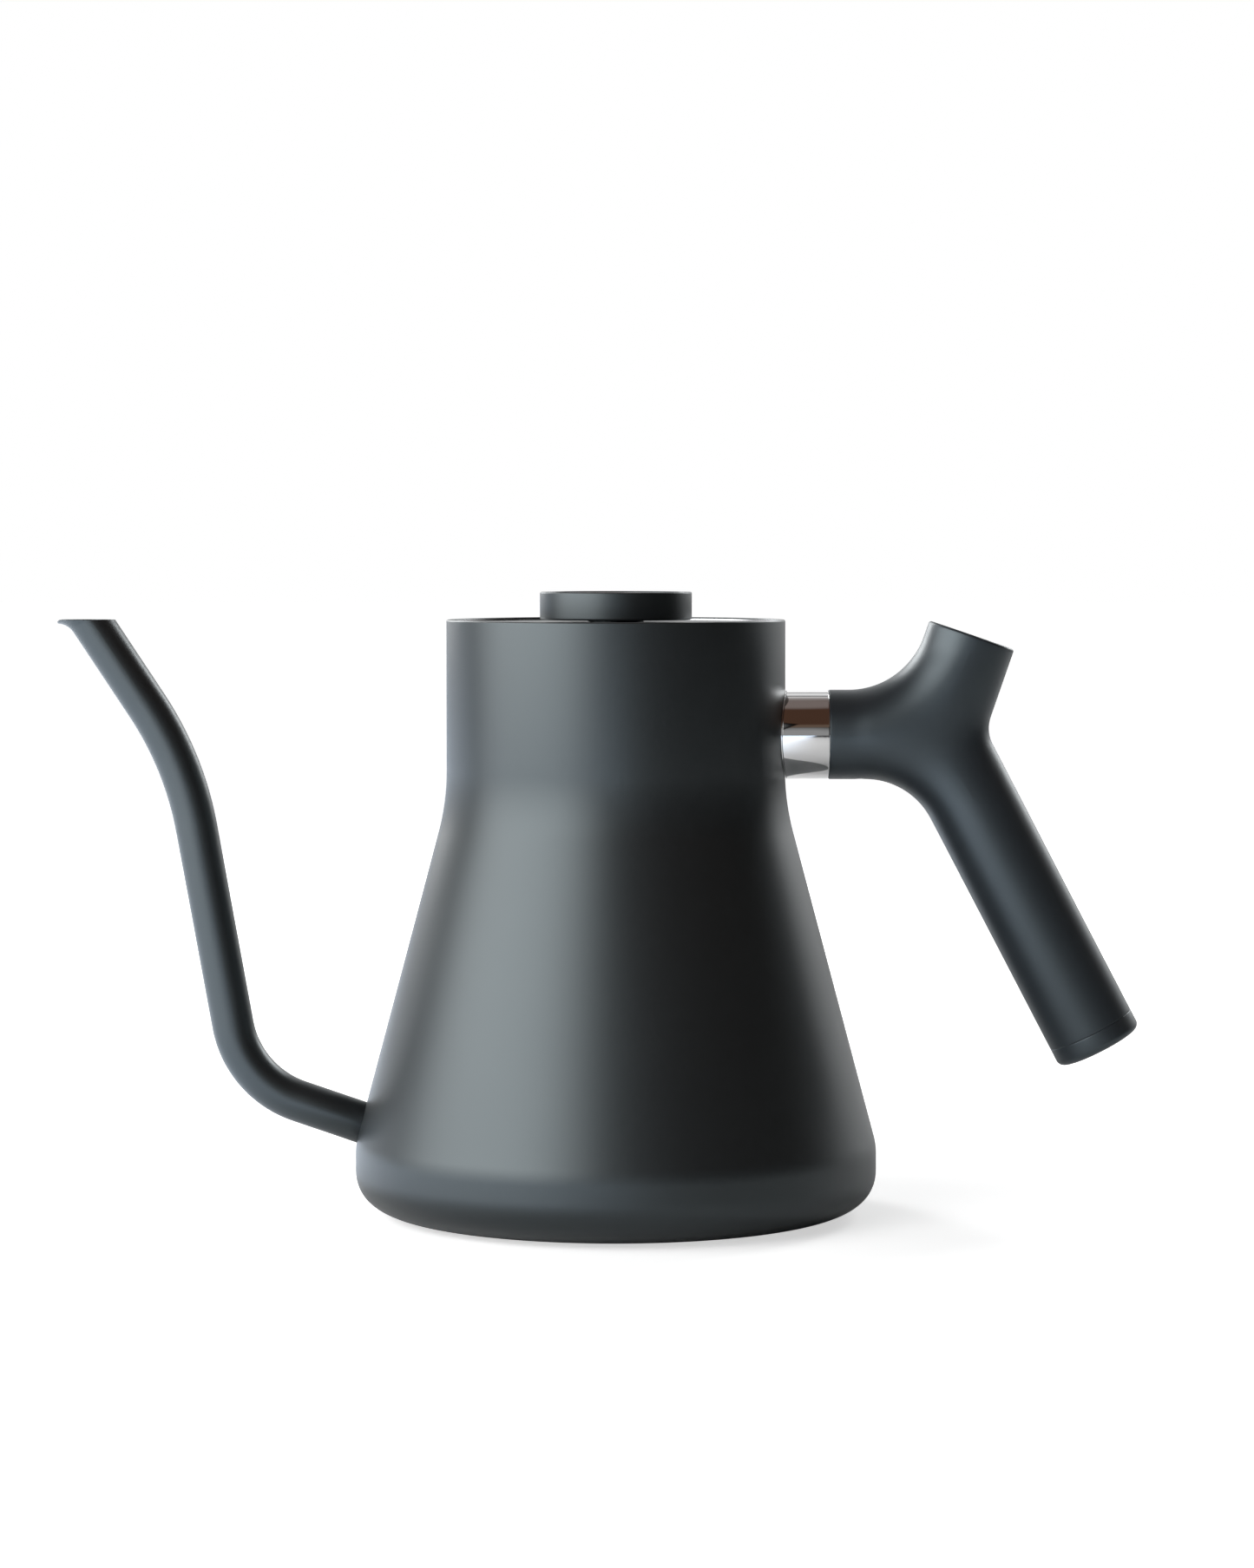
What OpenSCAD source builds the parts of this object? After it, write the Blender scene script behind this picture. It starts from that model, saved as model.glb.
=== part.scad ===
// Gooseneck pour-over kettle: the cordless jug, its lift-off lid with a dial thermometer,
// the counterweighted handle and the heater chamber under the vessel floor.
// Millimetres. Z is up, the body's axis is Z, the spout points along -X and the handle along +X.
// Z = 0 is the table that the foot ring stands on.

/* [Body] */
// Height of the rim above the table
body_h = 161; // [157:1:165]
// Outside diameter of the straight neck
neck_d = 91.4; // [88:0.2:94]
// Outside diameter at the widest place, just above the base
base_d = 141; // [138:1:146]
// Thickness of the steel wall
wall = 0.8; // [0.6:0.1:1]
// Height of the corner where the cone would meet the neck
waist_z = 112; // [106:1:118]
// Radius of the hollow blend between cone and neck
waist_r = 65; // [40:5:80]
// Height of the corner where the cone would meet the upright foot
shoulder_z = 19; // [18:0.5:20]
// Radius of the blend between upright foot and cone
shoulder_r = 18; // [10:1:18]
// Width of the rounding under the foot
base_round_w = 17.5; // [15:0.5:18]
// Height of the rounding under the foot
base_round_h = 11.5; // [10:0.5:11.5]

/* [Spout] */
// Outside diameter of the spout tube
spout_d = 11.3; // [10:0.1:12]
// Thickness of the tube's wall
spout_wall = 0.8; // [0.6:0.1:1]
// Distance of the lower bend's corner from the body's axis
knee_x = 101; // [98:1:104]
// Height of the lower bend's corner
knee_z = 35.6; // [34:0.2:38]
// Distance of the upper bend's corner from the body's axis
elbow_x = 116.6; // [114:0.2:120]
// Height of the upper bend's corner
elbow_z = 122.6; // [118:0.2:126]
// Distance of the mouth's centre from the body's axis
mouth_x = 141.8; // [138:0.2:144]
// Centreline radius of the lower bend
knee_r = 27; // [20:1:29]
// Centreline radius of the upper bend
elbow_r = 89; // [60:1:95]
// Radius of the flared pouring lip
lip_r = 5.2; // [4.5:0.1:7]

/* [Handle] */
// Height of the handle's horizontal neck
handle_z = 130; // [128:0.5:132]
// Radius of the neck, thumb stub and grip
grip_r = 12.1; // [11.5:0.1:12.5]
// Distance of the fork, where the three arms meet, from the body's axis
fork_x = 86.8; // [84:0.2:90]
// Lean of the thumb stub away from the body, from upright
stub_lean = 18.9; // [15:0.1:22]
// Lean of the grip away from the body, from upright
grip_lean = 27.6; // [24:0.2:30]
// Length of the thumb stub from the fork
stub_len = 27.3; // [26:0.1:30]
// Length of the grip from the fork, with its end cap
grip_len = 95.5; // [90:0.5:100]
// Length of the end cap that shows
cap_len = 5.4; // [4:0.2:8]
// Distance from the body's axis to the seam between collar and handle
collar_end = 57.4; // [56:0.2:59]
// Radius of the web between neck and stub
crook_top_r = 21.5; // [18:0.5:22]
// Radius of the web between neck and grip
crook_low_r = 20; // [15:0.5:24]
// Radius of the web between stub and grip
crook_back_r = 9; // [6:0.5:12]

/* [Lid] */
// Diameter of the dial thermometer's case, which is also the lid's knob
dial_d = 41; // [38:0.5:44]
// Height of the case above its shoulder
dial_h = 7.5; // [7:0.5:9]
// Length of the probe below the case
probe_len = 99; // [80:1:105]
// Angle from the top of the dial to the pointer's cold stop
cold_stop = 135; // [120:5:150]

/* [Base] */
// Height of the vessel's floor above the table
floor_z = 20; // [20:0.5:22]
// Radius of the well that the power base's connector enters
well_r = 17.5; // [16:0.5:18]
// Depth of that well
well_depth = 6; // [5:0.5:6]
// Radius of the heating element's ring
element_ring_r = 44; // [42:0.5:46]

/* [Hidden] */

$fn = 96;
// Step between round surfaces that would otherwise just touch, and how far they overlap
hair = 0.03;
lap = 0.5;
arc_steps = 20;

coat = [0.17, 0.18, 0.20];
steel = [0.72, 0.73, 0.75];
polished = [0.86, 0.86, 0.87];
plastic = [0.10, 0.10, 0.11];
silicone = [0.16, 0.16, 0.17];
alloy = [0.80, 0.81, 0.83];
brass_tone = [0.80, 0.65, 0.32];

neck_r = neck_d / 2;
base_r = base_d / 2;
cone_lean = atan((base_r - neck_r) / (waist_z - shoulder_z));
foot_gap = 0.8;                          // the shell hangs this far above the table
base_flat_r = base_r - base_round_w;     // where the rounding meets the flat underside
opening_r = base_flat_r - 3;             // the opening that the bottom cover closes

// Lid seat
ledge_z = body_h - 2.4;
lid_top = body_h - 0.8;
plate_t = 0.8;
throat_r = 41;
cup_r = 40.1;
cup_z = ledge_z - 10;
stem_r = 4;
stem_low = cup_z - 3.4;

// Dial thermometer
dial_r = dial_d / 2;
case_wall = 1.5;
dial_plane = body_h + 3;
dial_well_r = dial_r - case_wall;
lens_z = body_h + dial_h - 1.9;
probe_r = 2.4;
probe_bore_r = 1.9;
spindle_r = 0.5;
coil_len = 34;
coil_z = body_h - probe_len + 4;

// Heater chamber, from the floor downwards
sheet = 0.8;
spreader_top = floor_z - sheet;
spreader_t = 2.5;
spreader_z = spreader_top - spreader_t;
element_r = 3.4;
element_flat = 2.4;
element_gap = 60;
cover_z = foot_gap;
cover_t = 2;
cover_r = opening_r - 0.3;
well_wall = 2;
connector_z = cover_z + well_depth;
connector_h = 6;
post_ring_r = 31;
post_angles = [60, 180, 300];
foot_ring_r = opening_r - 4.5;

// Handle
spigot_r = 8;
spigot_len = 22.5;
seam_z = grip_len - cap_len;             // the end cap's seam, measured down the grip from the fork
grip_bore_r = 9.3;
set_screw_x = collar_end + 8.6;

// ---- Functions ----

// Points of an arc about a centre, from one angle to another
function arc(centre, r, from, to, steps = arc_steps) =
    [for (i = [0 : steps]) let (a = from + (to - from) * i / steps) centre + r * [cos(a), sin(a)]];

// The body's outline from foot to rim, moved inwards by inset.
// The hollow waist's arc has its centre outside, so its radius grows as the outline shrinks.
function body_outline(inset = 0) =
    let (
        foot = [base_flat_r, foot_gap + base_round_h],
        shoulder = [base_r - shoulder_r, shoulder_z - shoulder_r * tan(cone_lean / 2)],
        waist = [neck_r + waist_r, waist_z + waist_r * tan(cone_lean / 2)]
    )
    concat(
        [for (i = [0 : arc_steps]) let (a = -90 + 90 * i / arc_steps)
            foot + [(base_round_w - inset) * cos(a), (base_round_h - inset) * sin(a)]],
        arc(shoulder, shoulder_r - inset, 0, cone_lean, 6),
        arc(waist, waist_r + inset, 180 + cone_lean, 180)
    );

// Direction of travel from one point of a route to the next, in degrees
function heading(route, i) = let (d = route[i + 1] - route[i]) atan2(d.y, d.x);
// Turn at corner i of a route, between -180 and 180
function turn(route, i) = let (t = heading(route, i) - heading(route, i - 1)) t > 180 ? t - 360 : t < -180 ? t + 360 : t;
// How far from corner i its bend begins
function setback(route, radii, i) = radii[i] * tan(abs(turn(route, i)) / 2);

// ---- Spout's route ----

// The spout's route ends where its flare begins, flare_len before the mouth's centre
spout_root_x = 60;
flare_len = 0.4;
mouth_run = [elbow_x - mouth_x, body_h - elbow_z];
spout_route = [
    [-spout_root_x, knee_z - (knee_x - spout_root_x) * tan(18.9)],
    [-knee_x, knee_z],
    [-elbow_x, elbow_z],
    [-elbow_x, elbow_z] + mouth_run * (1 - flare_len / norm(mouth_run))
];
spout_bends = [0, knee_r, elbow_r, 0];
spout_tilt = heading(spout_route, 2) - 90;

// ---- Shared shapes ----

module ring(r_in, r_out, z, h) {
    translate([0, 0, z]) difference() {
        cylinder(r = r_out, h = h);
        translate([0, 0, -1]) cylinder(r = r_in, h = h + 2);
    }
}

module at_polar(r, angle) {
    rotate([0, 0, angle]) translate([r, 0, 0]) children();
}

// Lays a shape drawn in X and Y into the upright X and Z plane
module upright() {
    rotate([90, 0, 0]) children();
}

// A round bar along X, from one distance to another
module bar_x(r, from, to) {
    translate([from, 0, handle_z]) rotate([0, 90, 0]) cylinder(r = r, h = to - from);
}

// The solid that the body's outline encloses
module body_solid(inset = 0) {
    rotate_extrude() polygon(concat([[0, foot_gap + inset]], body_outline(inset),
        [[neck_r - inset, body_h + 1], [0, body_h + 1]]));
}

// One solid rod along a route of straight runs and round bends in the X and Z plane.
// Each bend turns a little further than it has to, and the straight runs are a hair thinner,
// so that the pieces join along clean edges.
module rod(route, radii, r) {
    last = len(route) - 1;
    for (i = [0 : last - 1]) {
        from = i == 0 ? 0 : setback(route, radii, i);
        far = norm(route[i + 1] - route[i]);
        to = i + 1 == last ? far : far - setback(route, radii, i + 1);
        translate([route[i].x, 0, route[i].y]) rotate([0, 90 - heading(route, i), 0]) translate([0, 0, from])
            cylinder(r = r - hair, h = to - from);
    }
    for (i = [1 : last - 1]) {
        a = heading(route, i - 1);
        side = sign(turn(route, i));
        start = route[i] - setback(route, radii, i) * [cos(a), sin(a)];
        centre = start + radii[i] * side * [-sin(a), cos(a)];
        over = lap / radii[i] * 180 / PI;
        sweep = abs(turn(route, i));
        from = side > 0 ? a - 90 : a + 90 - sweep;
        translate([centre.x, 0, centre.y]) upright() rotate([0, 0, from - over])
            rotate_extrude(angle = sweep + 2 * over) translate([radii[i], 0]) circle(r = r);
    }
}

// The end of the spout, widening into the pouring lip
module lip(r, bend) {
    end_angle = 56;
    start = [r, 0];
    translate([spout_route[3].x, 0, spout_route[3].y]) rotate([0, -spout_tilt, 0])
        rotate_extrude() polygon(concat(
            [[0, -lap], start - [0, lap]],
            [for (i = [0 : 8]) let (a = end_angle * i / 8) start + bend * [1 - cos(a), sin(a)]],
            [[0, bend * sin(end_angle)]]));
}

// ---- Vessel ----

module body_shell() {
    color(coat) difference() {
        rotate_extrude() polygon(concat(
            [[opening_r, foot_gap]], body_outline(),
            arc([neck_r - wall / 2, body_h - wall / 2], wall / 2, 0, 180, 8),
            [for (i = [len(body_outline(wall)) - 1 : -1 : 0]) body_outline(wall)[i]],
            [[opening_r, foot_gap + wall]]));
        rod(spout_route, spout_bends, spout_d / 2 - spout_wall);
    }
}

// A drawn steel ring welded inside the neck: its ledge carries the lid
module mouth_ring() {
    color(steel) rotate_extrude() polygon(concat(
        [[throat_r, cup_z + 1], [throat_r + sheet, cup_z + 1], [throat_r + sheet, ledge_z - sheet],
         [neck_r - wall, ledge_z - sheet], [neck_r - wall, ledge_z]],
        arc([throat_r + 1.2, ledge_z - 1.2], 1.2, 90, 180, 6)));
}

// A dish turned upside down, its skirt welded to the upright foot of the shell
module vessel_floor() {
    skirt_r = base_r - wall;
    skirt_low = foot_gap + base_round_h + 0.1;
    bend = 3.6;
    color(steel) rotate_extrude() polygon(concat(
        [[0, floor_z - sheet]],
        arc([skirt_r - bend, floor_z - bend], bend - sheet, 90, 0, 8),
        [[skirt_r - sheet, skirt_low], [skirt_r, skirt_low]],
        arc([skirt_r - bend, floor_z - bend], bend, 0, 90, 8),
        [[0, floor_z]]));
}

// ---- Heater chamber ----

module heat_spreader() {
    color(alloy) translate([0, 0, spreader_z]) cylinder(r = element_ring_r + 8, h = spreader_t);
}

// A sheathed element bent to an open ring, its upper side pressed flat against the spreader
module heating_element() {
    color([0.45, 0.44, 0.43]) rotate([0, 0, element_gap / 2]) translate([0, 0, spreader_z - element_flat])
        rotate_extrude(angle = 360 - element_gap) intersection() {
            translate([element_ring_r, 0]) circle(r = element_r);
            translate([element_ring_r - element_r, -element_r]) square([2 * element_r, element_r + element_flat]);
        }
}

// The cold pins and their ceramic beads at the element's two ends
module element_pins() {
    for (side = [-1, 1])
        translate([0, 0, spreader_z - element_flat - 0.3]) at_polar(element_ring_r, side * element_gap / 2)
            rotate([side * 90, 0, 0]) {
                color([0.92, 0.90, 0.85]) cylinder(r = 2.2, h = 2.5);
                color(steel) cylinder(r = 1.2, h = 9);
            }
}

// A bimetal disc thermostat held against the spreader
module thermal_cutout() {
    color([0.55, 0.50, 0.42]) at_polar(29, 0) translate([0, 0, spreader_z - 6.8]) {
        cylinder(r = 7, h = 5);
        cylinder(r = 5.4, h = 6.8);
        for (side = [-1, 1]) translate([-0.4, side * 4 - 2, -2.4]) cube([0.8, 4, 3]);
    }
}

// The thermistor that reads the water's temperature through the floor
module water_sensor() {
    color(brass_tone) at_polar(28, 240) translate([0, 0, spreader_z - 5]) {
        cylinder(r = 3, h = 5);
        cylinder(r = 4.2, h = 1.6);
    }
}

// The moulded block on the connector that carries the switch blades
module control_block() {
    color([0.82, 0.80, 0.74]) translate([0, 0, connector_z + connector_h]) difference() {
        translate([-15, -10, 0]) cube([30, 20, 3]);
        for (side = [-1, 1]) translate([side * 9 - 2, -7, 1.2]) cube([4, 14, 3]);
    }
}

module cover_posts() {
    color(steel) for (angle = post_angles) at_polar(post_ring_r, angle) difference() {
        translate([0, 0, cover_z + cover_t]) cylinder(r = 3.6, h = spreader_z - cover_z - cover_t);
        translate([0, 0, cover_z]) cylinder(r = 1.25, h = 10.5);
    }
}

// The jug's half of the cordless connector, with two ring slots and a centre hole
module connector_body() {
    slot_depth = connector_h - 1.2;
    color(plastic) difference() {
        translate([0, 0, connector_z]) cylinder(r = well_r + well_wall, h = connector_h);
        for (r = [12.6, 7.4]) ring(r - 1.1, r + 1.1, connector_z - 1, slot_depth + 1);
        translate([0, 0, connector_z - 1]) cylinder(r = 2.6, h = slot_depth + 1);
    }
}

// Sprung contact rings that stand against the outer wall of each slot
module connector_contacts() {
    slot_depth = connector_h - 1.2;
    color(brass_tone) for (r = [12.6 + 1.1, 7.4 + 1.1, 2.6])
        ring(r - 0.4, r, connector_z + 0.8, slot_depth - 0.8);
}

// The moulded cover, with the connector's well, sunk screw seats and the foot ring's groove
module bottom_cover() {
    color(plastic) difference() {
        union() {
            translate([0, 0, cover_z]) cylinder(r = cover_r, h = cover_t);
            translate([0, 0, cover_z]) cylinder(r = well_r + well_wall, h = well_depth);
        }
        translate([0, 0, cover_z - 1]) cylinder(r = well_r, h = well_depth + 2);
        for (angle = post_angles) at_polar(post_ring_r, angle) {
            translate([0, 0, cover_z - 1]) cylinder(r = 1.6, h = cover_t + 2);
            translate([0, 0, cover_z - 1]) cylinder(r = 3.2, h = 2.3);
        }
        ring(foot_ring_r - 1.6, foot_ring_r + 1.6, cover_z - 1, 1.8);
    }
}

module bottom_seal() {
    color(silicone) ring(cover_r, cover_r + 1.8, foot_gap + wall, 1.4);
}

module cover_screws() {
    color(steel) for (angle = post_angles) at_polar(post_ring_r, angle) difference() {
        union() {
            translate([0, 0, cover_z + 0.1]) cylinder(r = 2.9, h = 1.2);
            translate([0, 0, cover_z + 0.1]) cylinder(r = 1.2, h = 9.4);
        }
        translate([0, 0, cover_z - 1]) cylinder(r = 1.2, h = 1.9, $fn = 6);
    }
}

// The silicone ring that the kettle stands on
module foot_ring() {
    color(silicone) ring(foot_ring_r - 1.6, foot_ring_r + 1.6, 0, cover_z + 0.8);
}

// ---- Spout ----

// A bent tube butted to the shell, cut level with the rim, with a lip turned out on the pouring side
module spout_tube() {
    inner_r = spout_d / 2 - spout_wall;
    color(coat) difference() {
        union() {
            rod(spout_route, spout_bends, spout_d / 2);
            lip(spout_d / 2, lip_r);
        }
        rod(spout_route, spout_bends, inner_r);
        lip(inner_r, lip_r + spout_wall);
        body_solid();
        translate([-mouth_x - 20, -20, body_h]) cube([40, 40, 20]);
    }
}

// ---- Handle ----

fork = [fork_x, handle_z];
// Arms of the handle as angles from +X: neck, stub and grip
neck_angle = 180;
stub_angle = 90 - stub_lean;
grip_angle = -90 + grip_lean;

// Round bar along one arm of the handle, from one distance from the fork to another
module arm(angle, r, from, to) {
    translate([fork.x, 0, fork.y]) rotate([0, 90 - angle, 0]) translate([0, 0, from])
        cylinder(r = r, h = to - from);
}

// Web between two arms: a bar bent about the hollow of the crook, and the plate that it borders.
// The plate is a hair thinner than the bars, so that the two meet along clean lines.
module crook(angle_a, angle_b, r) {
    apart = angle_b - angle_a;
    bend = r + grip_r;
    reach = bend / tan(apart / 2);
    middle = (angle_a + angle_b) / 2;
    hub = fork + bend / sin(apart / 2) * [cos(middle), sin(middle)];
    sweep = 180 - apart;
    translate([hub.x, 0, hub.y]) upright() rotate([0, 0, middle + 180 - sweep / 2])
        rotate_extrude(angle = sweep) translate([bend, 0]) circle(r = grip_r - 0.01);
    upright() linear_extrude(2 * grip_r - 0.1, center = true) difference() {
        polygon([fork, fork + reach * [cos(angle_a), sin(angle_a)], fork + reach * [cos(angle_b), sin(angle_b)]]);
        translate(hub) circle(r = bend);
    }
}

// One moulding: the neck that slides on the spigot, the thumb stub and the grip
module handle_shell() {
    round = 0.8;
    color(plastic) difference() {
        union() {
            arm(neck_angle, grip_r, 0, fork_x - collar_end);
            arm(grip_angle, grip_r, 0, seam_z);
            translate([fork.x, 0, fork.y]) rotate([0, stub_lean, 0]) rotate_extrude()
                polygon(concat([[0, 0], [grip_r, 0]],
                    arc([grip_r - round, stub_len - round], round, 0, 90, 6), [[0, stub_len]]));
            crook(stub_angle, neck_angle, crook_top_r);
            crook(neck_angle, 360 + grip_angle, crook_low_r);
            crook(grip_angle, stub_angle, crook_back_r);
        }
        bar_x(spigot_r + 0.05, collar_end - 1, collar_end + spigot_len + 0.5);
        arm(grip_angle, grip_bore_r, 30, seam_z + 1);
        translate([set_screw_x, 0, handle_z - grip_r - 1]) cylinder(r = 2, h = grip_r);
    }
}

// The steel bar welded to the neck, which carries the collar and the handle
module handle_spigot() {
    color(steel) difference() {
        bar_x(spigot_r, neck_r - 4, collar_end + spigot_len);
        body_solid();
        translate([set_screw_x, 0, handle_z - spigot_r - 1]) cylinder(r = 2.05, h = 2.4);
    }
}

// The polished sleeve that shows between body and handle
module handle_collar() {
    color(polished) difference() {
        bar_x(grip_r - 0.1, neck_r - 4, collar_end);
        bar_x(spigot_r, neck_r - 5, collar_end + 1);
        body_solid();
    }
}

module handle_set_screw() {
    low = handle_z - grip_r + 0.6;
    color(steel) difference() {
        translate([set_screw_x, 0, low]) cylinder(r = 1.95, h = 4.6);
        translate([set_screw_x, 0, low - 1]) cylinder(r = 1.1, h = 2.6, $fn = 6);
    }
}

// Steel slug that moves the balance towards the hand
module counterweight() {
    color([0.40, 0.41, 0.43]) arm(grip_angle, grip_bore_r - 0.05, seam_z - 40, seam_z - 6);
}

module counterweight_pad() {
    color(silicone) arm(grip_angle, grip_bore_r - 0.05, seam_z - 60, seam_z - 40);
}

// The cap that closes the grip, with a plug and a groove for its seal
module handle_end_cap() {
    round = 1.8;
    plug_r = grip_bore_r - 0.1;
    color(plastic) translate([fork.x, 0, fork.y]) rotate([0, 180 - grip_lean, 0])
        rotate_extrude() polygon(concat(
            [[0, seam_z - 6], [plug_r, seam_z - 6], [plug_r, seam_z - 4], [plug_r - 1, seam_z - 4],
             [plug_r - 1, seam_z - 2], [plug_r, seam_z - 2], [plug_r, seam_z], [grip_r - 0.25, seam_z],
             [grip_r, seam_z + 0.25]],
            arc([grip_r - round, grip_len - round], round, 0, 90, 8),
            [[0, grip_len]]));
}

module end_cap_seal() {
    color(silicone) translate([fork.x, 0, fork.y]) rotate([0, 180 - grip_lean, 0]) translate([0, 0, seam_z - 3])
        rotate_extrude() translate([grip_bore_r - 0.6, 0]) circle(r = 0.5, $fn = 32);
}

// ---- Lid ----

module lid_vents() {
    for (angle = [90, 210, 330]) at_polar(30, angle) translate([0, 0, cup_z - 1]) cylinder(r = 1.5, h = 20);
}

// Pressed disc with a rolled edge, level with the rim
module lid_plate() {
    edge_r = neck_r - wall - 0.35;
    color(coat) difference() {
        rotate_extrude() polygon(concat(
            [[stem_r + 0.05, lid_top - plate_t], [edge_r, lid_top - plate_t]],
            arc([edge_r - 0.4, lid_top - 0.4], 0.4, 0, 90, 4),
            [[stem_r + 0.05, lid_top]]));
        lid_vents();
    }
}

// Dish welded under the plate; it hangs in the throat and keeps steam off the plate
module lid_cup() {
    t = 0.6;
    low_r = 2;
    top = lid_top - plate_t;
    color(steel) difference() {
        rotate_extrude() polygon(concat(
            [[stem_r + 0.05, cup_z], [cup_r - low_r, cup_z]],
            arc([cup_r - low_r, cup_z + low_r], low_r, -90, 0, 6),
            [[cup_r, top - t], [cup_r + 1.6, top - t], [cup_r + 1.6, top], [cup_r - t, top]],
            arc([cup_r - low_r, cup_z + low_r], low_r - t, 0, -90, 6),
            [[stem_r + 0.05, cup_z + t]]));
        lid_vents();
    }
}

// Silicone ring round the cup: a pad on the ledge, a sleeve and three soft fins
module lid_gasket() {
    top = lid_top - plate_t;
    color(silicone) union() {
        ring(cup_r + 1.6, cup_r + 3.9, ledge_z, top - ledge_z);
        ring(cup_r, cup_r + 0.35, cup_z + 2.2, 7);
        for (i = [0 : 2]) ring(cup_r + 0.2, throat_r - 0.3, cup_z + 3 + 2.4 * i, 0.7);
    }
}

// ---- Dial thermometer ----

// Turned case with a shoulder on the plate and a threaded stem through the lid
module dial_case() {
    round = 0.6;
    color(coat) rotate_extrude() polygon(concat(
        [[probe_r, stem_low], [stem_r - 0.4, stem_low], [stem_r, stem_low + 0.4], [stem_r, lid_top], [7.5, lid_top],
         [7.5, body_h]],
        arc([dial_r - round, body_h + round], round, -90, 0, 4),
        arc([dial_r - 0.4, body_h + dial_h - 0.4], 0.4, 0, 90, 4),
        [[dial_well_r, body_h + dial_h], [dial_well_r, dial_plane - 0.6], [6, dial_plane - 0.6],
         [6, body_h + 1.4], [probe_r, body_h + 1.4]]));
}

module dial_face() {
    color([0.93, 0.92, 0.89]) ring(spindle_r + 0.3, dial_well_r - 0.05, dial_plane - 0.6, 0.6);
}

// Sloping ring between the dial and the lens
module dial_spacer() {
    color(plastic) rotate_extrude() polygon([
        [dial_well_r - 0.9, dial_plane], [dial_well_r - 0.05, dial_plane],
        [dial_well_r - 0.05, lens_z], [dial_well_r - 1.6, lens_z]]);
}

module dial_lens() {
    color([0.75, 0.85, 0.88, 0.4]) translate([0, 0, lens_z]) cylinder(r = dial_well_r - 0.05, h = 1.1);
}

module lens_ring() {
    color(polished) ring(dial_well_r - 1.2, dial_well_r - 0.02, lens_z + 1.1, 0.5);
}

// Thin tube that dips into the water
module probe_tube() {
    color(steel) ring(probe_bore_r, probe_r, body_h - probe_len, probe_len + 1.8);
}

// Rounded plug that closes the probe's tip
module probe_plug() {
    tip = body_h - probe_len;
    color(steel) union() {
        translate([0, 0, tip]) cylinder(r = probe_bore_r, h = 4);
        rotate_extrude() polygon(concat([[0, tip]], arc([0, tip], probe_r, 0, -90, 8)));
    }
}

// Strip of two metals wound to a helix: it unwinds as it warms and turns the spindle
module bimetal_coil() {
    turns = 7;
    band = concat(arc([0, 0], 1.4, 0, 200, 4), arc([0, 0], 1.0, 200, 0, 4));
    color([0.70, 0.55, 0.40]) translate([0, 0, coil_z])
        linear_extrude(coil_len, twist = -360 * turns, slices = 12 * turns, $fn = 8) polygon(band);
}

module spindle_bush() {
    color(brass_tone) ring(spindle_r + 0.05, probe_bore_r, body_h - 6, 5);
}

module stem_washer() {
    color(silicone) ring(stem_r, 7.5, cup_z - 0.6, 0.6);
}

module stem_nut() {
    color(steel) difference() {
        translate([0, 0, cup_z - 3]) cylinder(r = 6.6, h = 2.4, $fn = 6);
        translate([0, 0, cup_z - 4]) cylinder(r = stem_r, h = 5);
    }
}

// Balanced blade on a round hub, at rest on the cold stop
module pointer() {
    reach = dial_well_r - 4;
    tail = 6;
    color([0.80, 0.28, 0.12]) translate([0, 0, dial_plane + 1]) rotate([0, 0, 90 + cold_stop])
        difference() {
            union() {
                linear_extrude(0.4) polygon([[-tail, -1.1], [reach, -0.25], [reach, 0.25], [-tail, 1.1]]);
                translate([0, 0, -0.2]) cylinder(r = 2.2, h = 0.9);
            }
            translate([0, 0, -1]) cylinder(r = spindle_r, h = 3);
        }
}

module spindle() {
    color(steel) translate([0, 0, coil_z + coil_len + 0.2])
        cylinder(r = spindle_r, h = dial_plane + 1.5 - coil_z - coil_len - 0.2);
}

// ---- Assembly ----

body_shell();
mouth_ring();
vessel_floor();
heat_spreader();
heating_element();
element_pins();
thermal_cutout();
water_sensor();
control_block();
cover_posts();
connector_body();
connector_contacts();
bottom_cover();
bottom_seal();
cover_screws();
foot_ring();
spout_tube();
handle_spigot();
handle_collar();
handle_shell();
handle_set_screw();
counterweight();
counterweight_pad();
handle_end_cap();
end_cap_seal();
lid_plate();
lid_cup();
lid_gasket();
dial_case();
dial_face();
dial_spacer();
dial_lens();
lens_ring();
probe_tube();
probe_plug();
bimetal_coil();
spindle_bush();
stem_washer();
stem_nut();
pointer();
spindle();
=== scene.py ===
# %% [markdown]
# # Gooseneck kettle
# The finished model stands around a fixed frame that comes from the CAD parts. This notebook
# gives every part of the kettle its real finish, and makes the parts whose surface needs more
# than the CAD gives: the spun wall, the bent spout, the blended handle and the dial.

# %% Load the frame
import bpy
import bmesh
import math
import numpy as np
from mathutils import Matrix, Vector


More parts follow.
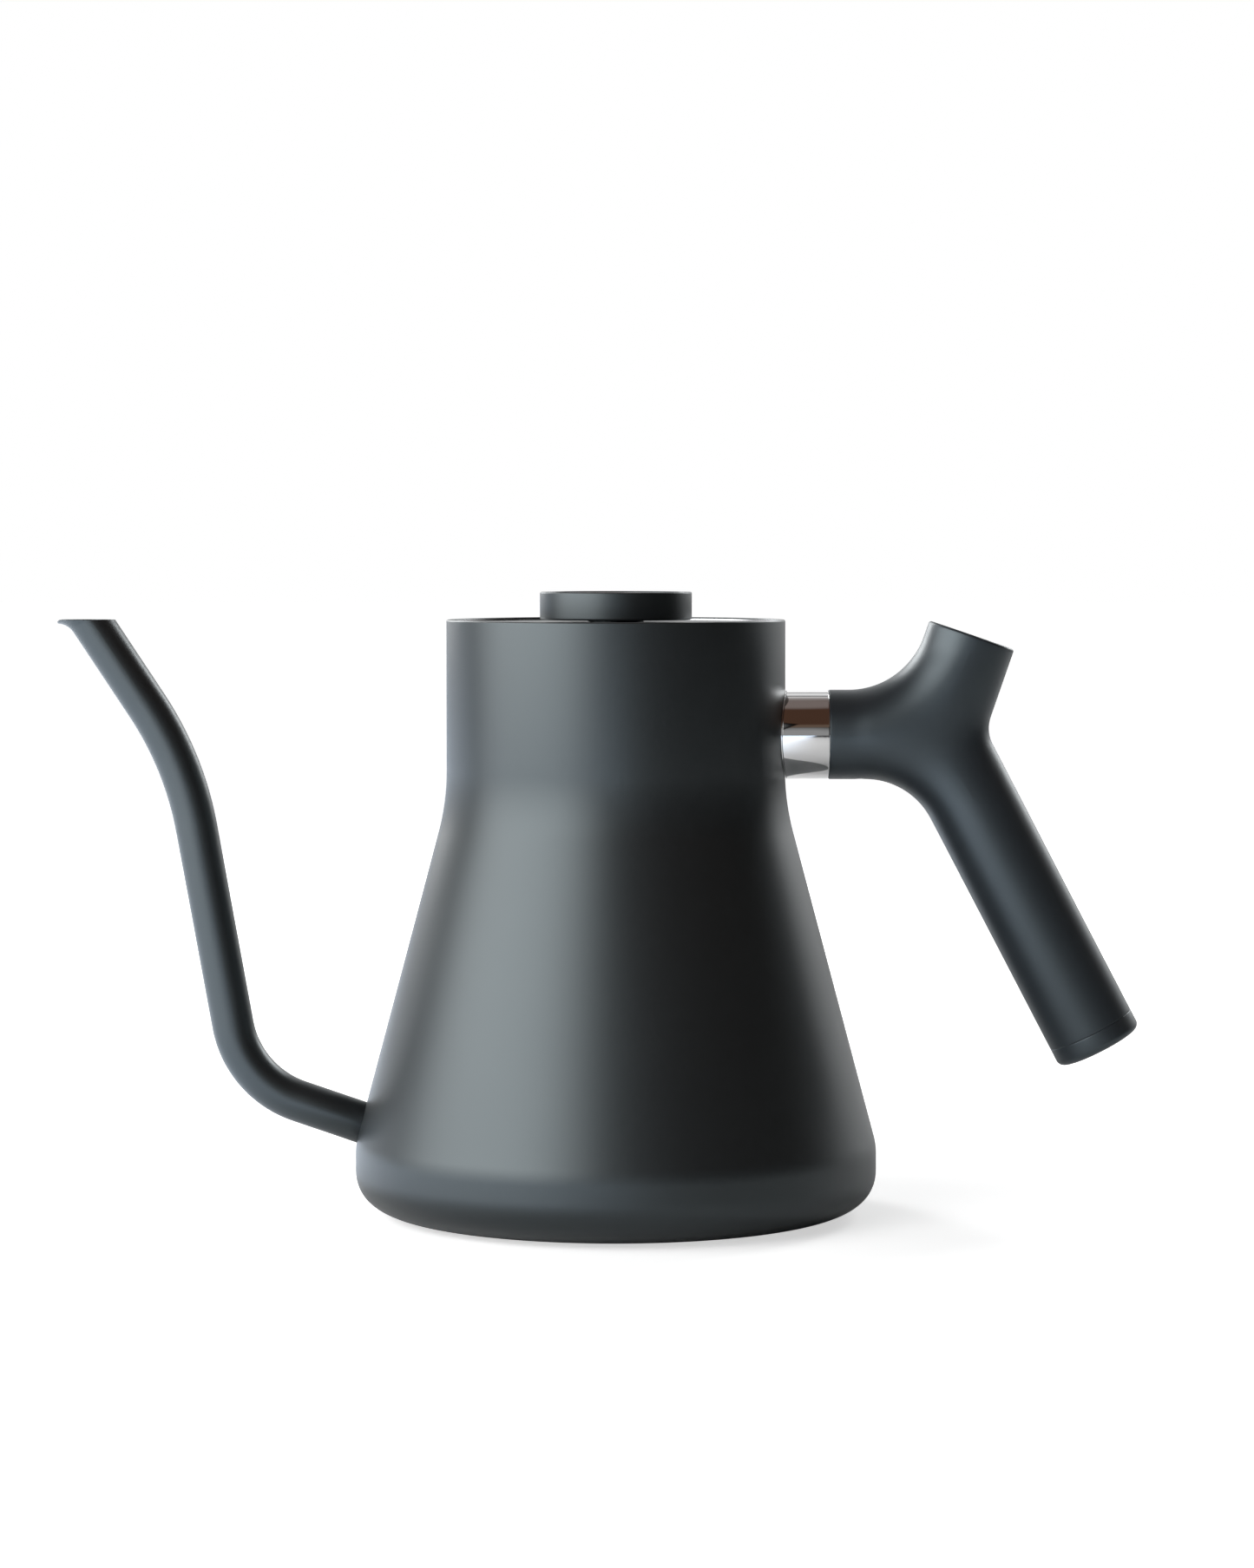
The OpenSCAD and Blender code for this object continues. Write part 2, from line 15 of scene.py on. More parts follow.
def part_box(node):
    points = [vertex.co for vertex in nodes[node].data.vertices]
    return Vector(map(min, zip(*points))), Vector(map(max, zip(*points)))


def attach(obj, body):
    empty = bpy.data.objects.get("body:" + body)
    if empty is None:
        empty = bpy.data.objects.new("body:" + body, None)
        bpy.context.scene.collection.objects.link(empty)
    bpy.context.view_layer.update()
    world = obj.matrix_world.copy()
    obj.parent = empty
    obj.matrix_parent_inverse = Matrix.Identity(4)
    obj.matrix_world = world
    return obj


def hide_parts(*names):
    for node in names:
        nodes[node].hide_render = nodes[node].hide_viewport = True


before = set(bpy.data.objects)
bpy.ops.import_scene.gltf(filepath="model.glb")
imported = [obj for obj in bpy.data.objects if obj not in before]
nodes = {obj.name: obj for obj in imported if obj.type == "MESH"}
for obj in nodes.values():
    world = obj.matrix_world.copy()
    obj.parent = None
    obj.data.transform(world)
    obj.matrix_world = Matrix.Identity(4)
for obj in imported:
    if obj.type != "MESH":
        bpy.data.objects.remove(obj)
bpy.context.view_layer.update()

# %% [markdown]
# ## Camera
# A long lens, a little above the rim and tipped down slightly, so the kettle's sides stay
# almost upright. A product is shown from far away because a near camera bends its outline.

# %% Camera
camera_data = bpy.data.cameras.new("camera")
camera_data.lens = 102.08
camera_data.sensor_width = 36
camera_data.clip_end = 50
camera = bpy.data.objects.new("camera", camera_data)
camera.location = (0.003, -1.2, 0.182)
camera.rotation_euler = (math.radians(90 - 3.12), 0, 0)
scene = bpy.context.scene
scene.collection.objects.link(camera)
scene.camera = camera
scene.view_settings.view_transform = "Standard"
print("camera", tuple(round(v, 3) for v in camera.location))

# %% [markdown]
# ## Small helpers for nodes
# Every material, the studio and the shape trees below are built from nodes. One call makes a
# node with its settings and feeds its sockets, each with a plain value or with what another
# node puts out. A sum, a soft step and a mix come back so often that they get their own calls.

# %% Node helpers
def feed(tree, made, inputs):
    """Gives a node's sockets, by name or number, another node's output or a plain value."""
    for key, value in inputs.items():
        if hasattr(value, "is_output"):
            tree.links.new(value, made.inputs[key])
        else:
            made.inputs[key].default_value = value


def node(tree, kind, inputs=None, **settings):
    """A node with its settings, fed with its inputs."""
    made = tree.nodes.new(kind)
    for key, value in settings.items():
        setattr(made, key, value)
    feed(tree, made, inputs or {})
    return made


def maths(tree, operation, *values):
    """The result of one Math node; each value is an output or a number."""
    return node(tree, "ShaderNodeMath", dict(enumerate(values)), operation=operation).outputs[0]


print("node helpers ready")

# %% Colour helpers
def smooth_range(tree, value, low, high, to_low=0.0, to_high=1.0):
    """A soft step of a value, from to_low at low to to_high at high."""
    return node(tree, "ShaderNodeMapRange",
                {"Value": value, "From Min": low, "From Max": high, "To Min": to_low, "To Max": to_high},
                interpolation_type="SMOOTHSTEP").outputs["Result"]


def mixed(tree, factor, a, b):
    """A mix of two colours, each an output or (red, green, blue)."""
    a, b = (colour if hasattr(colour, "is_output") else (*colour, 1) for colour in (a, b))
    return node(tree, "ShaderNodeMix", {0: factor, 6: a, 7: b}, data_type="RGBA").outputs[2]


def grey(v):
    return (v, v, v)


def emptied_tree(made):
    """The node tree of a new material or world, with nothing in it."""
    made.use_nodes = True
    made.node_tree.nodes.clear()
    return made.node_tree


print("colour helpers ready")

# %% [markdown]
# ## The table
# A pale sheet of paper that runs far back. Paper can be lit until it is white, but then its light
# washes out the kettle. Here the lit paper stays plain and keeps the kettle's shadow, and a glow
# that only the eye sees lifts it to white. Metal mirrors another glow, on the side of the main
# lamp only: it lies under the left of the kettle and leaves the right side dark. It starts a
# little away from the foot, where the kettle's own shadow falls.

# %% Object helpers
def add_object(name, data):
    """A new object at the origin, in the scene."""
    made = bpy.data.objects.new(name, data)
    scene.collection.objects.link(made)
    return made


def mesh_object(name, points, edges=(), faces=()):
    """An object with a mesh of points, in metres."""
    mesh = bpy.data.meshes.new(name)
    mesh.from_pydata(points, edges, faces)
    return add_object(name, mesh)


def plane_object(name, width, depth):
    """A flat rectangle in X and Y, centred on its origin, with no thickness."""
    x, y = width / 2, depth / 2
    made = mesh_object(name, [(-x, -y, 0), (x, -y, 0), (x, y, 0), (-x, y, 0)], faces=[(0, 1, 2, 3)])
    return made


print("object helpers ready")

# %% Paper
PAPER = 0.80
EYE_GLOW = (0.2, 1.5, 0.58, 1.0)  # a near and a far distance in metres, and the glow at each
METAL_GLOW = (0.07, 0.16, 0.0, 1.1)
AWAY_FROM_KEY = (1.0, 0.1, 0.0)
KEY_SIDE = (0.06, -0.10)  # metres away from the key, where the mirrored glow starts and where it is full
COOL = (0.80, 0.95, 1.15)


def paper_material():
    """Paper whose lit colour keeps the shadow, with a glow that only the eye and mirrors see."""
    made = bpy.data.materials.new("table_paper")
    tree = emptied_tree(made)
    place = node(tree, "ShaderNodeTexCoord").outputs["Object"]
    rays = node(tree, "ShaderNodeLightPath").outputs
    reach = node(tree, "ShaderNodeVectorMath", {0: place}, operation="LENGTH").outputs["Value"]
    aside = node(tree, "ShaderNodeVectorMath", {0: place, 1: AWAY_FROM_KEY},
                 operation="DOT_PRODUCT").outputs["Value"]
    seen = maths(tree, "MULTIPLY", smooth_range(tree, reach, *EYE_GLOW), rays["Is Camera Ray"])
    lit = maths(tree, "MULTIPLY", smooth_range(tree, reach, *METAL_GLOW),
                smooth_range(tree, aside, *KEY_SIDE))
    mirrored = maths(tree, "MULTIPLY", lit, rays["Is Glossy Ray"])
    paper = node(tree, "ShaderNodeBsdfDiffuse", {"Color": (*grey(PAPER), 1)})
    glow = node(tree, "ShaderNodeEmission", {"Strength": maths(tree, "ADD", seen, mirrored),
                                             "Color": mixed(tree, rays["Is Glossy Ray"], grey(1), COOL)})
    total = node(tree, "ShaderNodeAddShader", {0: paper.outputs[0], 1: glow.outputs[0]})
    node(tree, "ShaderNodeOutputMaterial", {"Surface": total.outputs[0]})
    return made


print("paper ready")

# %% Floor
floor = plane_object("floor", 24, 24)
floor.data.materials.append(paper_material())
print("floor", tuple(round(v, 1) for v in floor.dimensions))

# %% [markdown]
# ## The studio round it
# A matt dark object shows its shape by what it mirrors at its edges. The studio is a colour
# that changes with direction: white behind the kettle, which draws a thin bright line along
# each side, and dim and a little warm in front, which the polished collar shows as brown bands.
# A real studio could be modelled as walls, but a few soft steps of colour are easier to tune.

# %% World
BACKDROP, CAMERA_SIDE, ROOM = grey(1.0), grey(0.25), grey(0.015)
LOW_CEILING, HIGH_CEILING, SKYLIGHT = (0.11, 0.075, 0.055), (0.055, 0.028, 0.018), (0.16, 0.13, 0.12)
world = bpy.data.worlds.new("studio")
scene.world = world
tree = emptied_tree(world)
way = node(tree, "ShaderNodeSeparateXYZ", {0: node(tree, "ShaderNodeTexCoord").outputs["Generated"]}).outputs
level = mixed(tree, smooth_range(tree, way["Y"], -0.99, -0.90), CAMERA_SIDE, ROOM)
ceiling = mixed(tree, smooth_range(tree, way["Z"], 0.42, 0.50), LOW_CEILING, HIGH_CEILING)
ceiling = mixed(tree, smooth_range(tree, way["Z"], 0.93, 0.99), ceiling, SKYLIGHT)
front = mixed(tree, smooth_range(tree, way["Z"], 0.30, 0.40), level, ceiling)
room = mixed(tree, smooth_range(tree, way["Y"], 0.15, 0.75), front, BACKDROP)
rays = node(tree, "ShaderNodeLightPath").outputs
ambient, mirrored, seen = (
    node(tree, "ShaderNodeBackground", {"Color": colour, "Strength": strength}).outputs[0]
    for colour, strength in (((0.95, 0.98, 1.0, 1), 0.05), (room, 1.0), ((1, 1, 1, 1), 1.0)))
gloss_or_glass = maths(tree, "MAXIMUM", rays["Is Glossy Ray"], rays["Is Transmission Ray"])
by_gloss = node(tree, "ShaderNodeMixShader", {0: gloss_or_glass, 1: ambient, 2: mirrored}).outputs[0]
by_eye = node(tree, "ShaderNodeMixShader", {0: rays["Is Camera Ray"], 1: by_gloss, 2: seen}).outputs[0]
node(tree, "ShaderNodeOutputWorld", {"Surface": by_eye})
print("studio", len(tree.nodes), "nodes")

# %% [markdown]
# ## Softboxes
# Four sheets of lit cloth. The key stands far to the left and gives the broad highlight on the
# cone. The two rims stand behind and light the sides, and a faint one hangs above. Their cloth
# fades towards its edges, so that a soft gloss shows no frame. Lamps would do the same, but a
# mesh with an emission that fades is the plain way to shape the edge of a reflection.

# %% Softbox cloth
def cloth_material(name, radiance, edge):
    """The lit cloth of a softbox: even in the middle and fading towards its edges."""
    made = bpy.data.materials.new(name)
    tree = emptied_tree(made)
    place = node(tree, "ShaderNodeTexCoord").outputs["Generated"]
    place = node(tree, "ShaderNodeSeparateXYZ", {0: place}).outputs
    from_middle = [maths(tree, "ABSOLUTE", maths(tree, "SUBTRACT", place[axis], 0.5)) for axis in ("X", "Y")]
    fades = [smooth_range(tree, size, 0.5 - edge, 0.5, 1.0, 0.0) for size in from_middle]
    strength = maths(tree, "MULTIPLY", maths(tree, "MULTIPLY", *fades), radiance)
    glow = node(tree, "ShaderNodeEmission", {"Strength": strength}).outputs[0]
    dark = node(tree, "ShaderNodeBsdfDiffuse", {"Color": (0, 0, 0, 1)}).outputs[0]
    back = node(tree, "ShaderNodeNewGeometry").outputs["Backfacing"]
    cloth = node(tree, "ShaderNodeMixShader", {0: back, 1: glow, 2: dark})
    node(tree, "ShaderNodeOutputMaterial", {"Surface": cloth.outputs[0]})
    return made


print("cloth ready")

# %% Softboxes
AIM = Vector((0, 0, 0.09))


def softbox(name, azimuth, elevation, distance, width, height, radiance, edge=0.3):
    """A softbox that faces the kettle. Azimuth is measured from the camera's side, to the right."""
    made = plane_object(name, width, height)
    made.data.materials.append(cloth_material(name + "_cloth", radiance, edge))
    a, e = math.radians(azimuth), math.radians(elevation)
    away = Vector((math.sin(a) * math.cos(e), -math.cos(a) * math.cos(e), math.sin(e)))
    made.location = AIM + away * distance
    made.rotation_euler = (-away).to_track_quat("Z", "Y").to_euler()
    made.visible_camera = False


for row in (("key", -60, 20, 1.1, 3.0, 1.3, 5.0, 0.40),
            ("rim_left", -148, 24, 1.3, 0.6, 1.1, 8.5),
            ("rim_right", 141, 27, 1.3, 0.5, 1.1, 8.0),
            ("top", 178, 50, 1.2, 1.0, 0.5, 0.7)):
    softbox(*row)
    print("softbox", row[0], "at", row[1], "degrees")

# %% [markdown]
# ## Shared shader effects
# Three effects come back in many finishes, so each is a node group with its own inputs:
# the fine grain of a coat or a moulding, the lines that turning or spinning leaves round an
# axis, and slow cloudy changes of tone. A group gives out masks and normals only; each
# material keeps its own shader and decides what the effect does.

# %% Group helpers
MM = 0.001


def node_group(kind, name, inputs, outputs):
    """A new node group and what its inputs put out. Sockets are given as (name, kind, default)."""
    made = bpy.data.node_groups.new(name, kind)
    for way, rows in (("INPUT", inputs), ("OUTPUT", outputs)):
        for label, socket_kind, value in rows:
            socket = made.interface.new_socket(name=label, in_out=way, socket_type="NodeSocket" + socket_kind)
            if value is not None:
                socket.default_value = value
    return made, made.nodes.new("NodeGroupInput").outputs


def end_with_bump(tree, pattern, height):
    """Ends a shader group: the pattern is its mask, and raises the surface by height millimetres."""
    distance = maths(tree, "MULTIPLY", height, MM)
    raised = node(tree, "ShaderNodeBump", {"Height": pattern, "Distance": distance})
    node(tree, "NodeGroupOutput", {"Mask": pattern, "Normal": raised.outputs["Normal"]})
    print(tree.name, len(tree.nodes), "nodes")


MASK_AND_NORMAL = [("Mask", "Float", None), ("Normal", "Vector", None)]
print("group helpers ready")

# %% [markdown]
# ### Grain
# A powder coat is melted plastic dust: it dries as low soft bumps about a third of a
# millimetre wide. A moulding has finer, sharper bumps from the spark-eroded tool. Both are
# noise in three dimensions, so no seam shows where a surface closes on itself.

# %% Grain group
grain_group, gin = node_group(
    "ShaderNodeTree", "grain",
    [("Size mm", "Float", 0.35), ("Height mm", "Float", 0.01), ("Sharpness", "Float", 0.5)], MASK_AND_NORMAL)
t = grain_group
bumps = node(t, "ShaderNodeTexNoise", {
    "Vector": node(t, "ShaderNodeTexCoord").outputs["Object"],
    "Scale": maths(t, "DIVIDE", 1 / MM, gin["Size mm"]), "Detail": 2.0, "Roughness": gin["Sharpness"]})
end_with_bump(t, bumps.outputs[0], gin["Height mm"])

# %% [markdown]
# ### Turning lines
# A part that spins while it is shaped, ground or polished keeps fine rings round its axis.
# The pattern reads how far a point is from the axis and how far along it lies, and hardly
# anything of its angle, so the noise is drawn out into rings.

# %% Turning group
turning_group, gin = node_group(
    "ShaderNodeTree", "turning_lines",
    [("Lines per mm", "Float", 4.0), ("Height mm", "Float", 0.004), ("Centre", "Vector", None),
     ("Turn", "Vector", None)], MASK_AND_NORMAL)
t = turning_group
place = node(t, "ShaderNodeTexCoord").outputs["Object"]
centred = node(t, "ShaderNodeVectorMath", {0: place, 1: gin["Centre"]}, operation="SUBTRACT").outputs[0]
turned = node(t, "ShaderNodeVectorRotate", {"Vector": centred, "Rotation": gin["Turn"]},
              rotation_type="EULER_XYZ")
part = node(t, "ShaderNodeSeparateXYZ", {0: turned.outputs[0]}).outputs
squares = [maths(t, "MULTIPLY", part[axis], part[axis]) for axis in ("X", "Y")]
radius = maths(t, "SQRT", maths(t, "ADD", *squares))
wander = maths(t, "MULTIPLY", maths(t, "SINE", maths(t, "ARCTAN2", part["Y"], part["X"])), 1.5)
density = maths(t, "MULTIPLY", gin["Lines per mm"], 1 / MM)
joined = node(t, "ShaderNodeCombineXYZ", {
    "X": maths(t, "MULTIPLY", radius, density), "Y": wander, "Z": maths(t, "MULTIPLY", part["Z"], density)})
rings = node(t, "ShaderNodeTexNoise", {
    "Vector": joined.outputs[0], "Scale": 1.0, "Detail": 3.0, "Roughness": 0.65})
end_with_bump(t, rings.outputs[0], gin["Height mm"])

# %% [markdown]
# ### Clouds
# No finish is even over a whole part: hands polish it, and a coat is thicker in one place
# than in another. The clouds are slow noise with a contrast of their own.

# %% Cloud group
cloud_group, gin = node_group(
    "ShaderNodeTree", "clouds", [("Size mm", "Float", 30.0), ("Contrast", "Float", 1.0)], MASK_AND_NORMAL[:1])
t = cloud_group
noise = node(t, "ShaderNodeTexNoise", {
    "Vector": node(t, "ShaderNodeTexCoord").outputs["Object"],
    "Scale": maths(t, "DIVIDE", 1 / MM, gin["Size mm"]), "Detail": 3.0})
spread = maths(t, "MULTIPLY", maths(t, "SUBTRACT", noise.outputs[0], 0.5), gin["Contrast"])
node(t, "NodeGroupOutput", {"Mask": maths(t, "ADD", spread, 0.5)})
print(t.name, len(t.nodes), "nodes")

# %% [markdown]
# ## Finishes
# Each finish starts from one Principled shader. A fixed number goes straight on the shader's
# own socket. Colour and roughness run between two ends, picked by one of the masks.

# %% Finish helpers
FINISH = {}


def new_finish(name):
    """A new material's tree, which starts with a Principled shader."""
    FINISH[name] = bpy.data.materials.new(name)
    FINISH[name].use_nodes = True
    return FINISH[name].node_tree


def spelled(values):
    """Values by socket name, from keywords with _ for a space."""
    return {key.replace("_", " "): value for key, value in values.items()}


def effect(tree, group, **values):
    """A group placed in a material's tree with its own values, and what it puts out."""
    return node(tree, "ShaderNodeGroup", spelled(values), node_tree=group).outputs


def dress(tree, low, high, rough, colour_mask, rough_mask, **sockets):
    """Runs the shader's colour from low to high and its roughness between two values, by masks."""
    spread = node(tree, "ShaderNodeMapRange", {"Value": rough_mask, "To Min": rough[0], "To Max": rough[1]})
    feed(tree, tree.nodes["Principled BSDF"], {
        "Base Color": mixed(tree, colour_mask, low, high),
        "Roughness": spread.outputs["Result"], **spelled(sockets)})


print("finish helpers ready")

# %% Two kinds of finish
def grained(name, low, high, rough, size, height, sharpness=0.5, **sockets):
    """A coat or a moulding. Its grain, size and height in mm, is in its bumps and its colour."""
    tree = new_finish(name)
    grain = effect(tree, grain_group, Size_mm=size, Height_mm=height, Sharpness=sharpness)
    clouds = effect(tree, cloud_group, Size_mm=35.0, Contrast=1.6)
    dress(tree, low, high, rough, grain["Mask"], mixed(tree, clouds["Mask"], grey(0.35), grey(0.65)),
          Normal=grain["Normal"], **sockets)


def turned_metal(name, low, high, rough, lines, height, centre=(0, 0, 0), turn=(0, 0, 0)):
    """A metal that was spun, turned or brushed round an axis, with so many lines in a millimetre."""
    tree = new_finish(name)
    rings = effect(tree, turning_group, Lines_per_mm=lines, Height_mm=height, Centre=centre, Turn=turn)
    clouds = effect(tree, cloud_group, Size_mm=22.0, Contrast=1.4)
    dress(tree, low, high, rough, clouds["Mask"], rings["Mask"], Normal=rings["Normal"], Metallic=1.0)


print("grained and turned finishes ready")

# %% [markdown]
# ### Coats and mouldings
# The powder coat and the handle look alike, as the maker means them to. The coat is nearly
# black, and what reads as slate grey is the studio in its soft gloss. The reflection is tinted
# a little cool. The handle's moulding is finer and slightly more matt.

# %% Coats, mouldings and silicone
grained("powder_coat", (0.0085, 0.0095, 0.0105), (0.0115, 0.0125, 0.0135), (0.34, 0.42), 0.34, 0.010,
        Specular_IOR_Level=0.9, Specular_Tint=(0.84, 0.96, 1.0, 1))
grained("grip_moulding", (0.0190, 0.0235, 0.0285), (0.0235, 0.0285, 0.0345), (0.36, 0.45), 0.22, 0.006, 0.7,
        Specular_IOR_Level=0.9, Specular_Tint=(0.82, 0.95, 1.0, 1))
grained("base_moulding", (0.012, 0.012, 0.013), (0.022, 0.022, 0.023), (0.45, 0.6), 0.30, 0.016, 0.7)
grained("silicone", (0.030, 0.030, 0.032), (0.045, 0.045, 0.047), (0.55, 0.7), 0.5, 0.006, 0.4,
        Sheen_Weight=0.15)
grained("dial_enamel", (0.78, 0.77, 0.73), (0.86, 0.85, 0.81), (0.32, 0.4), 0.6, 0.002, 0.4)
grained("dial_ink", (0.015, 0.015, 0.016), (0.03, 0.03, 0.032), (0.4, 0.5), 0.15, 0.002)
grained("signal_paint", (0.60, 0.10, 0.025), (0.72, 0.15, 0.04), (0.3, 0.4), 0.3, 0.002)
grained("ceramic", (0.74, 0.70, 0.62), (0.85, 0.82, 0.75), (0.6, 0.75), 0.25, 0.01, 0.7)
grained("insulator", (0.60, 0.56, 0.46), (0.70, 0.66, 0.56), (0.45, 0.6), 0.4, 0.006)
print("grained finishes", sorted(FINISH))

# %% [markdown]
# ### Metals
# The collar is polished until only the faintest rings are left, so it mirrors the room.
# The spun steel inside the jug keeps coarse rings round the kettle's axis. Screws and the
# probe have finer ones, and cast or pressed alloy has none to speak of.

# %% Metals
HANDLE_Z = 130.0
turned_metal("polished_steel", (0.93, 0.93, 0.93), (0.97, 0.97, 0.97), (0.035, 0.075), 6.0, 0.0001,
             centre=(0, 0, HANDLE_Z * MM), turn=(0, math.pi / 2, 0))
turned_metal("spun_steel", (0.56, 0.56, 0.57), (0.66, 0.66, 0.67), (0.18, 0.36), 3.0, 0.0012)
turned_metal("fine_steel", (0.58, 0.58, 0.59), (0.70, 0.70, 0.71), (0.14, 0.28), 8.0, 0.0005)
turned_metal("bright_ring", (0.75, 0.75, 0.76), (0.85, 0.85, 0.86), (0.08, 0.16), 8.0, 0.0003)
turned_metal("brass", (0.72, 0.52, 0.22), (0.82, 0.62, 0.30), (0.18, 0.32), 8.0, 0.0005)
turned_metal("alloy", (0.62, 0.63, 0.65), (0.72, 0.73, 0.75), (0.30, 0.45), 2.0, 0.0015)
turned_metal("element_sheath", (0.28, 0.26, 0.24), (0.40, 0.38, 0.36), (0.35, 0.5), 3.0, 0.001)
turned_metal("bimetal", (0.50, 0.36, 0.22), (0.66, 0.52, 0.36), (0.2, 0.35), 6.0, 0.0005)
print("finishes", len(FINISH))

# %% [markdown]
# ### Clear lens
# Flat mineral glass over the dial. Its roughness changes slightly, as on glass that has been
# wiped, and everything else stays plain so that it stays clear when it leaves Blender.

# %% Lens material
tree = new_finish("clear_lens")
smears = effect(tree, cloud_group, Size_mm=8.0, Contrast=1.5)["Mask"]
dress(tree, (0.97, 0.99, 0.985), (1.0, 1.0, 1.0), (0.0, 0.03), smears, smears,
      Transmission_Weight=1.0, IOR=1.5)
print("lens ready")

# %% [markdown]
# ## Turned parts
# Most of a kettle is turned: the spun wall, the knob's case, the cap, the collar. Each is one
# outline swept round an axis, so one Geometry Nodes tree makes them all. The tree lays a grid
# over the outline and the angle, and moves each grid point to its outline point turned by its
# angle. A merge then closes the seam and the poles. The outlines are short lists in
# millimetres: x is the distance from the axis and y is the height.

# %% Outline helpers
def arc(centre, r, start, end, steps=16):
    """Points of an arc, from one angle to another in degrees."""
    angles = [math.radians(start + (end - start) * i / steps) for i in range(steps + 1)]
    return [(centre[0] + r * math.cos(a), centre[1] + r * math.sin(a)) for a in angles]


def outline_object(name, points):
    """An open chain of points in X and Z, in metres, for a tree to read."""
    edges = [(i, i + 1) for i in range(len(points) - 1)]
    return mesh_object(name, [(x * MM, 0, z * MM) for x, z in points], edges)


print("outline helpers ready")

# %% Geometry tree helpers
def geometry_tree(name, inputs):
    """A Geometry Nodes tree with named inputs, of which the last is its finish."""
    shape = ("Geometry", "Geometry", None)
    return node_group("GeometryNodeTree", name, [shape, *inputs, ("Finish", "Material", None)], [shape])


def end_tree(tree, shape, gin):
    """Ends a tree: what it repeated becomes real mesh, in the one finish."""
    real = node(tree, "GeometryNodeRealizeInstances", {0: shape})
    painted = node(tree, "GeometryNodeSetMaterial", {"Geometry": real.outputs[0], "Material": gin["Finish"]})
    node(tree, "NodeGroupOutput", {"Geometry": painted.outputs[0]})
    print(tree.name, len(tree.nodes), "nodes")


print("tree helpers ready")

# %% Tree runner
def evaluated_mesh(made):
    """A plain mesh of an object as its modifiers leave it."""
    bpy.context.view_layer.update()
    return bpy.data.meshes.new_from_object(made.evaluated_get(bpy.context.evaluated_depsgraph_get()))


def run_tree(base, tree, name, **values):
    """Runs a tree on a base object and returns the result as a plain mesh object."""
    modifier = base.modifiers.new("tree", "NODES")
    modifier.node_group = tree
    for item in tree.interface.items_tree:
        if item.in_out == "INPUT" and item.name in values:
            modifier[item.identifier] = values[item.name]
    mesh = evaluated_mesh(base)
    bpy.data.objects.remove(base)
    mesh.name = name
    mesh.materials.clear()
    mesh.materials.append(values["Finish"])
    for face in mesh.polygons:
        face.material_index = 0
    return add_object(name, mesh)


print("tree runner ready")

# %% Mesh tidier
def tidy_mesh(made, crease=32.0, weld=1e-7):
    """Welds doubles, points faces outwards, shades smooth and keeps edges past crease sharp."""
    bm = bmesh.new()
    bm.from_mesh(made.data)
    bmesh.ops.remove_doubles(bm, verts=bm.verts, dist=weld)
    bmesh.ops.dissolve_degenerate(bm, dist=weld, edges=bm.edges)
    bmesh.ops.recalc_face_normals(bm, faces=bm.faces)
    for face in bm.faces:
        face.smooth = True
    for edge in bm.edges:
        edge.smooth = not (edge.is_manifold and edge.calc_face_angle() > math.radians(crease))
    open_edges = sum(not e.is_manifold for e in bm.edges)
    bm.to_mesh(made.data)
    bm.free()
    print(made.name, "faces", len(made.data.polygons), "open edges", open_edges)
    return made


print("mesh tidier ready")

# %% Turning tree
turn_tree, gin = geometry_tree("turn_on_axis", [("Steps", "Int", 96)])
t = turn_tree
count = node(t, "GeometryNodeAttributeDomainSize", {0: gin["Geometry"]},
             component="MESH").outputs["Point Count"]
grid = node(t, "GeometryNodeMeshGrid", {"Vertices X": maths(t, "ADD", gin["Steps"], 1), "Vertices Y": count})
index = node(t, "GeometryNodeInputIndex").outputs[0]
across = maths(t, "FLOOR", maths(t, "DIVIDE", index, count))
along = maths(t, "SUBTRACT", index, maths(t, "MULTIPLY", across, count))
sample = node(t, "GeometryNodeSampleIndex", {
    "Geometry": gin["Geometry"], "Value": node(t, "GeometryNodeInputPosition").outputs[0], "Index": along},
    data_type="FLOAT_VECTOR", domain="POINT")
angle = maths(t, "MULTIPLY", maths(t, "DIVIDE", across, gin["Steps"]), 2 * math.pi)
spin = node(t, "ShaderNodeVectorRotate", {"Vector": sample.outputs[0], "Angle": angle},
            rotation_type="Z_AXIS")
shift = node(t, "GeometryNodeSetPosition", {"Geometry": grid.outputs["Mesh"], "Position": spin.outputs[0]})
weld = node(t, "GeometryNodeMergeByDistance", {"Geometry": shift.outputs[0], "Distance": 1e-6})
end_tree(t, weld.outputs[0], gin)


def turned_part(name, points, steps, material, crease=32.0):
    """A solid turned from an outline. One that doesn't start and end on the axis is joined up."""
    on_axis = points[0][0] == 0 and points[-1][0] == 0
    base = outline_object(name + "_outline", points if on_axis else points + points[:1])
    return tidy_mesh(run_tree(base, turn_tree, name, Steps=steps, Finish=FINISH[material]), crease)

# %% [markdown]
# ### The jug's wall
# The wall is one sheet of steel spun to a straight neck, a hollow waist, a cone and a rounded
# foot, with the rim rolled round. It is coated outside and bare inside, so the same mesh
# carries two finishes. The hole into the spout is cut with a boolean, because it is a
# slanted round hole in a round wall, and nothing simpler has its edge.

# %% Wall's outline
RIM_Z, BASE_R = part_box("body_shell")[1].z / MM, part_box("body_shell")[1].x / MM
NECK_R, WALL = 45.7, 0.8
WAIST_Z, WAIST_R = 112.0, 65.0
SHOULDER_Z, SHOULDER_R = 19.0, 18.0
FOOT_Z, FOOT_W, FOOT_H, FOOT_FULLNESS, OPENING_R = 0.4, 17.5, 12.5, 2.4, 50.0
LEAN = math.degrees(math.atan2(BASE_R - NECK_R, WAIST_Z - SHOULDER_Z))


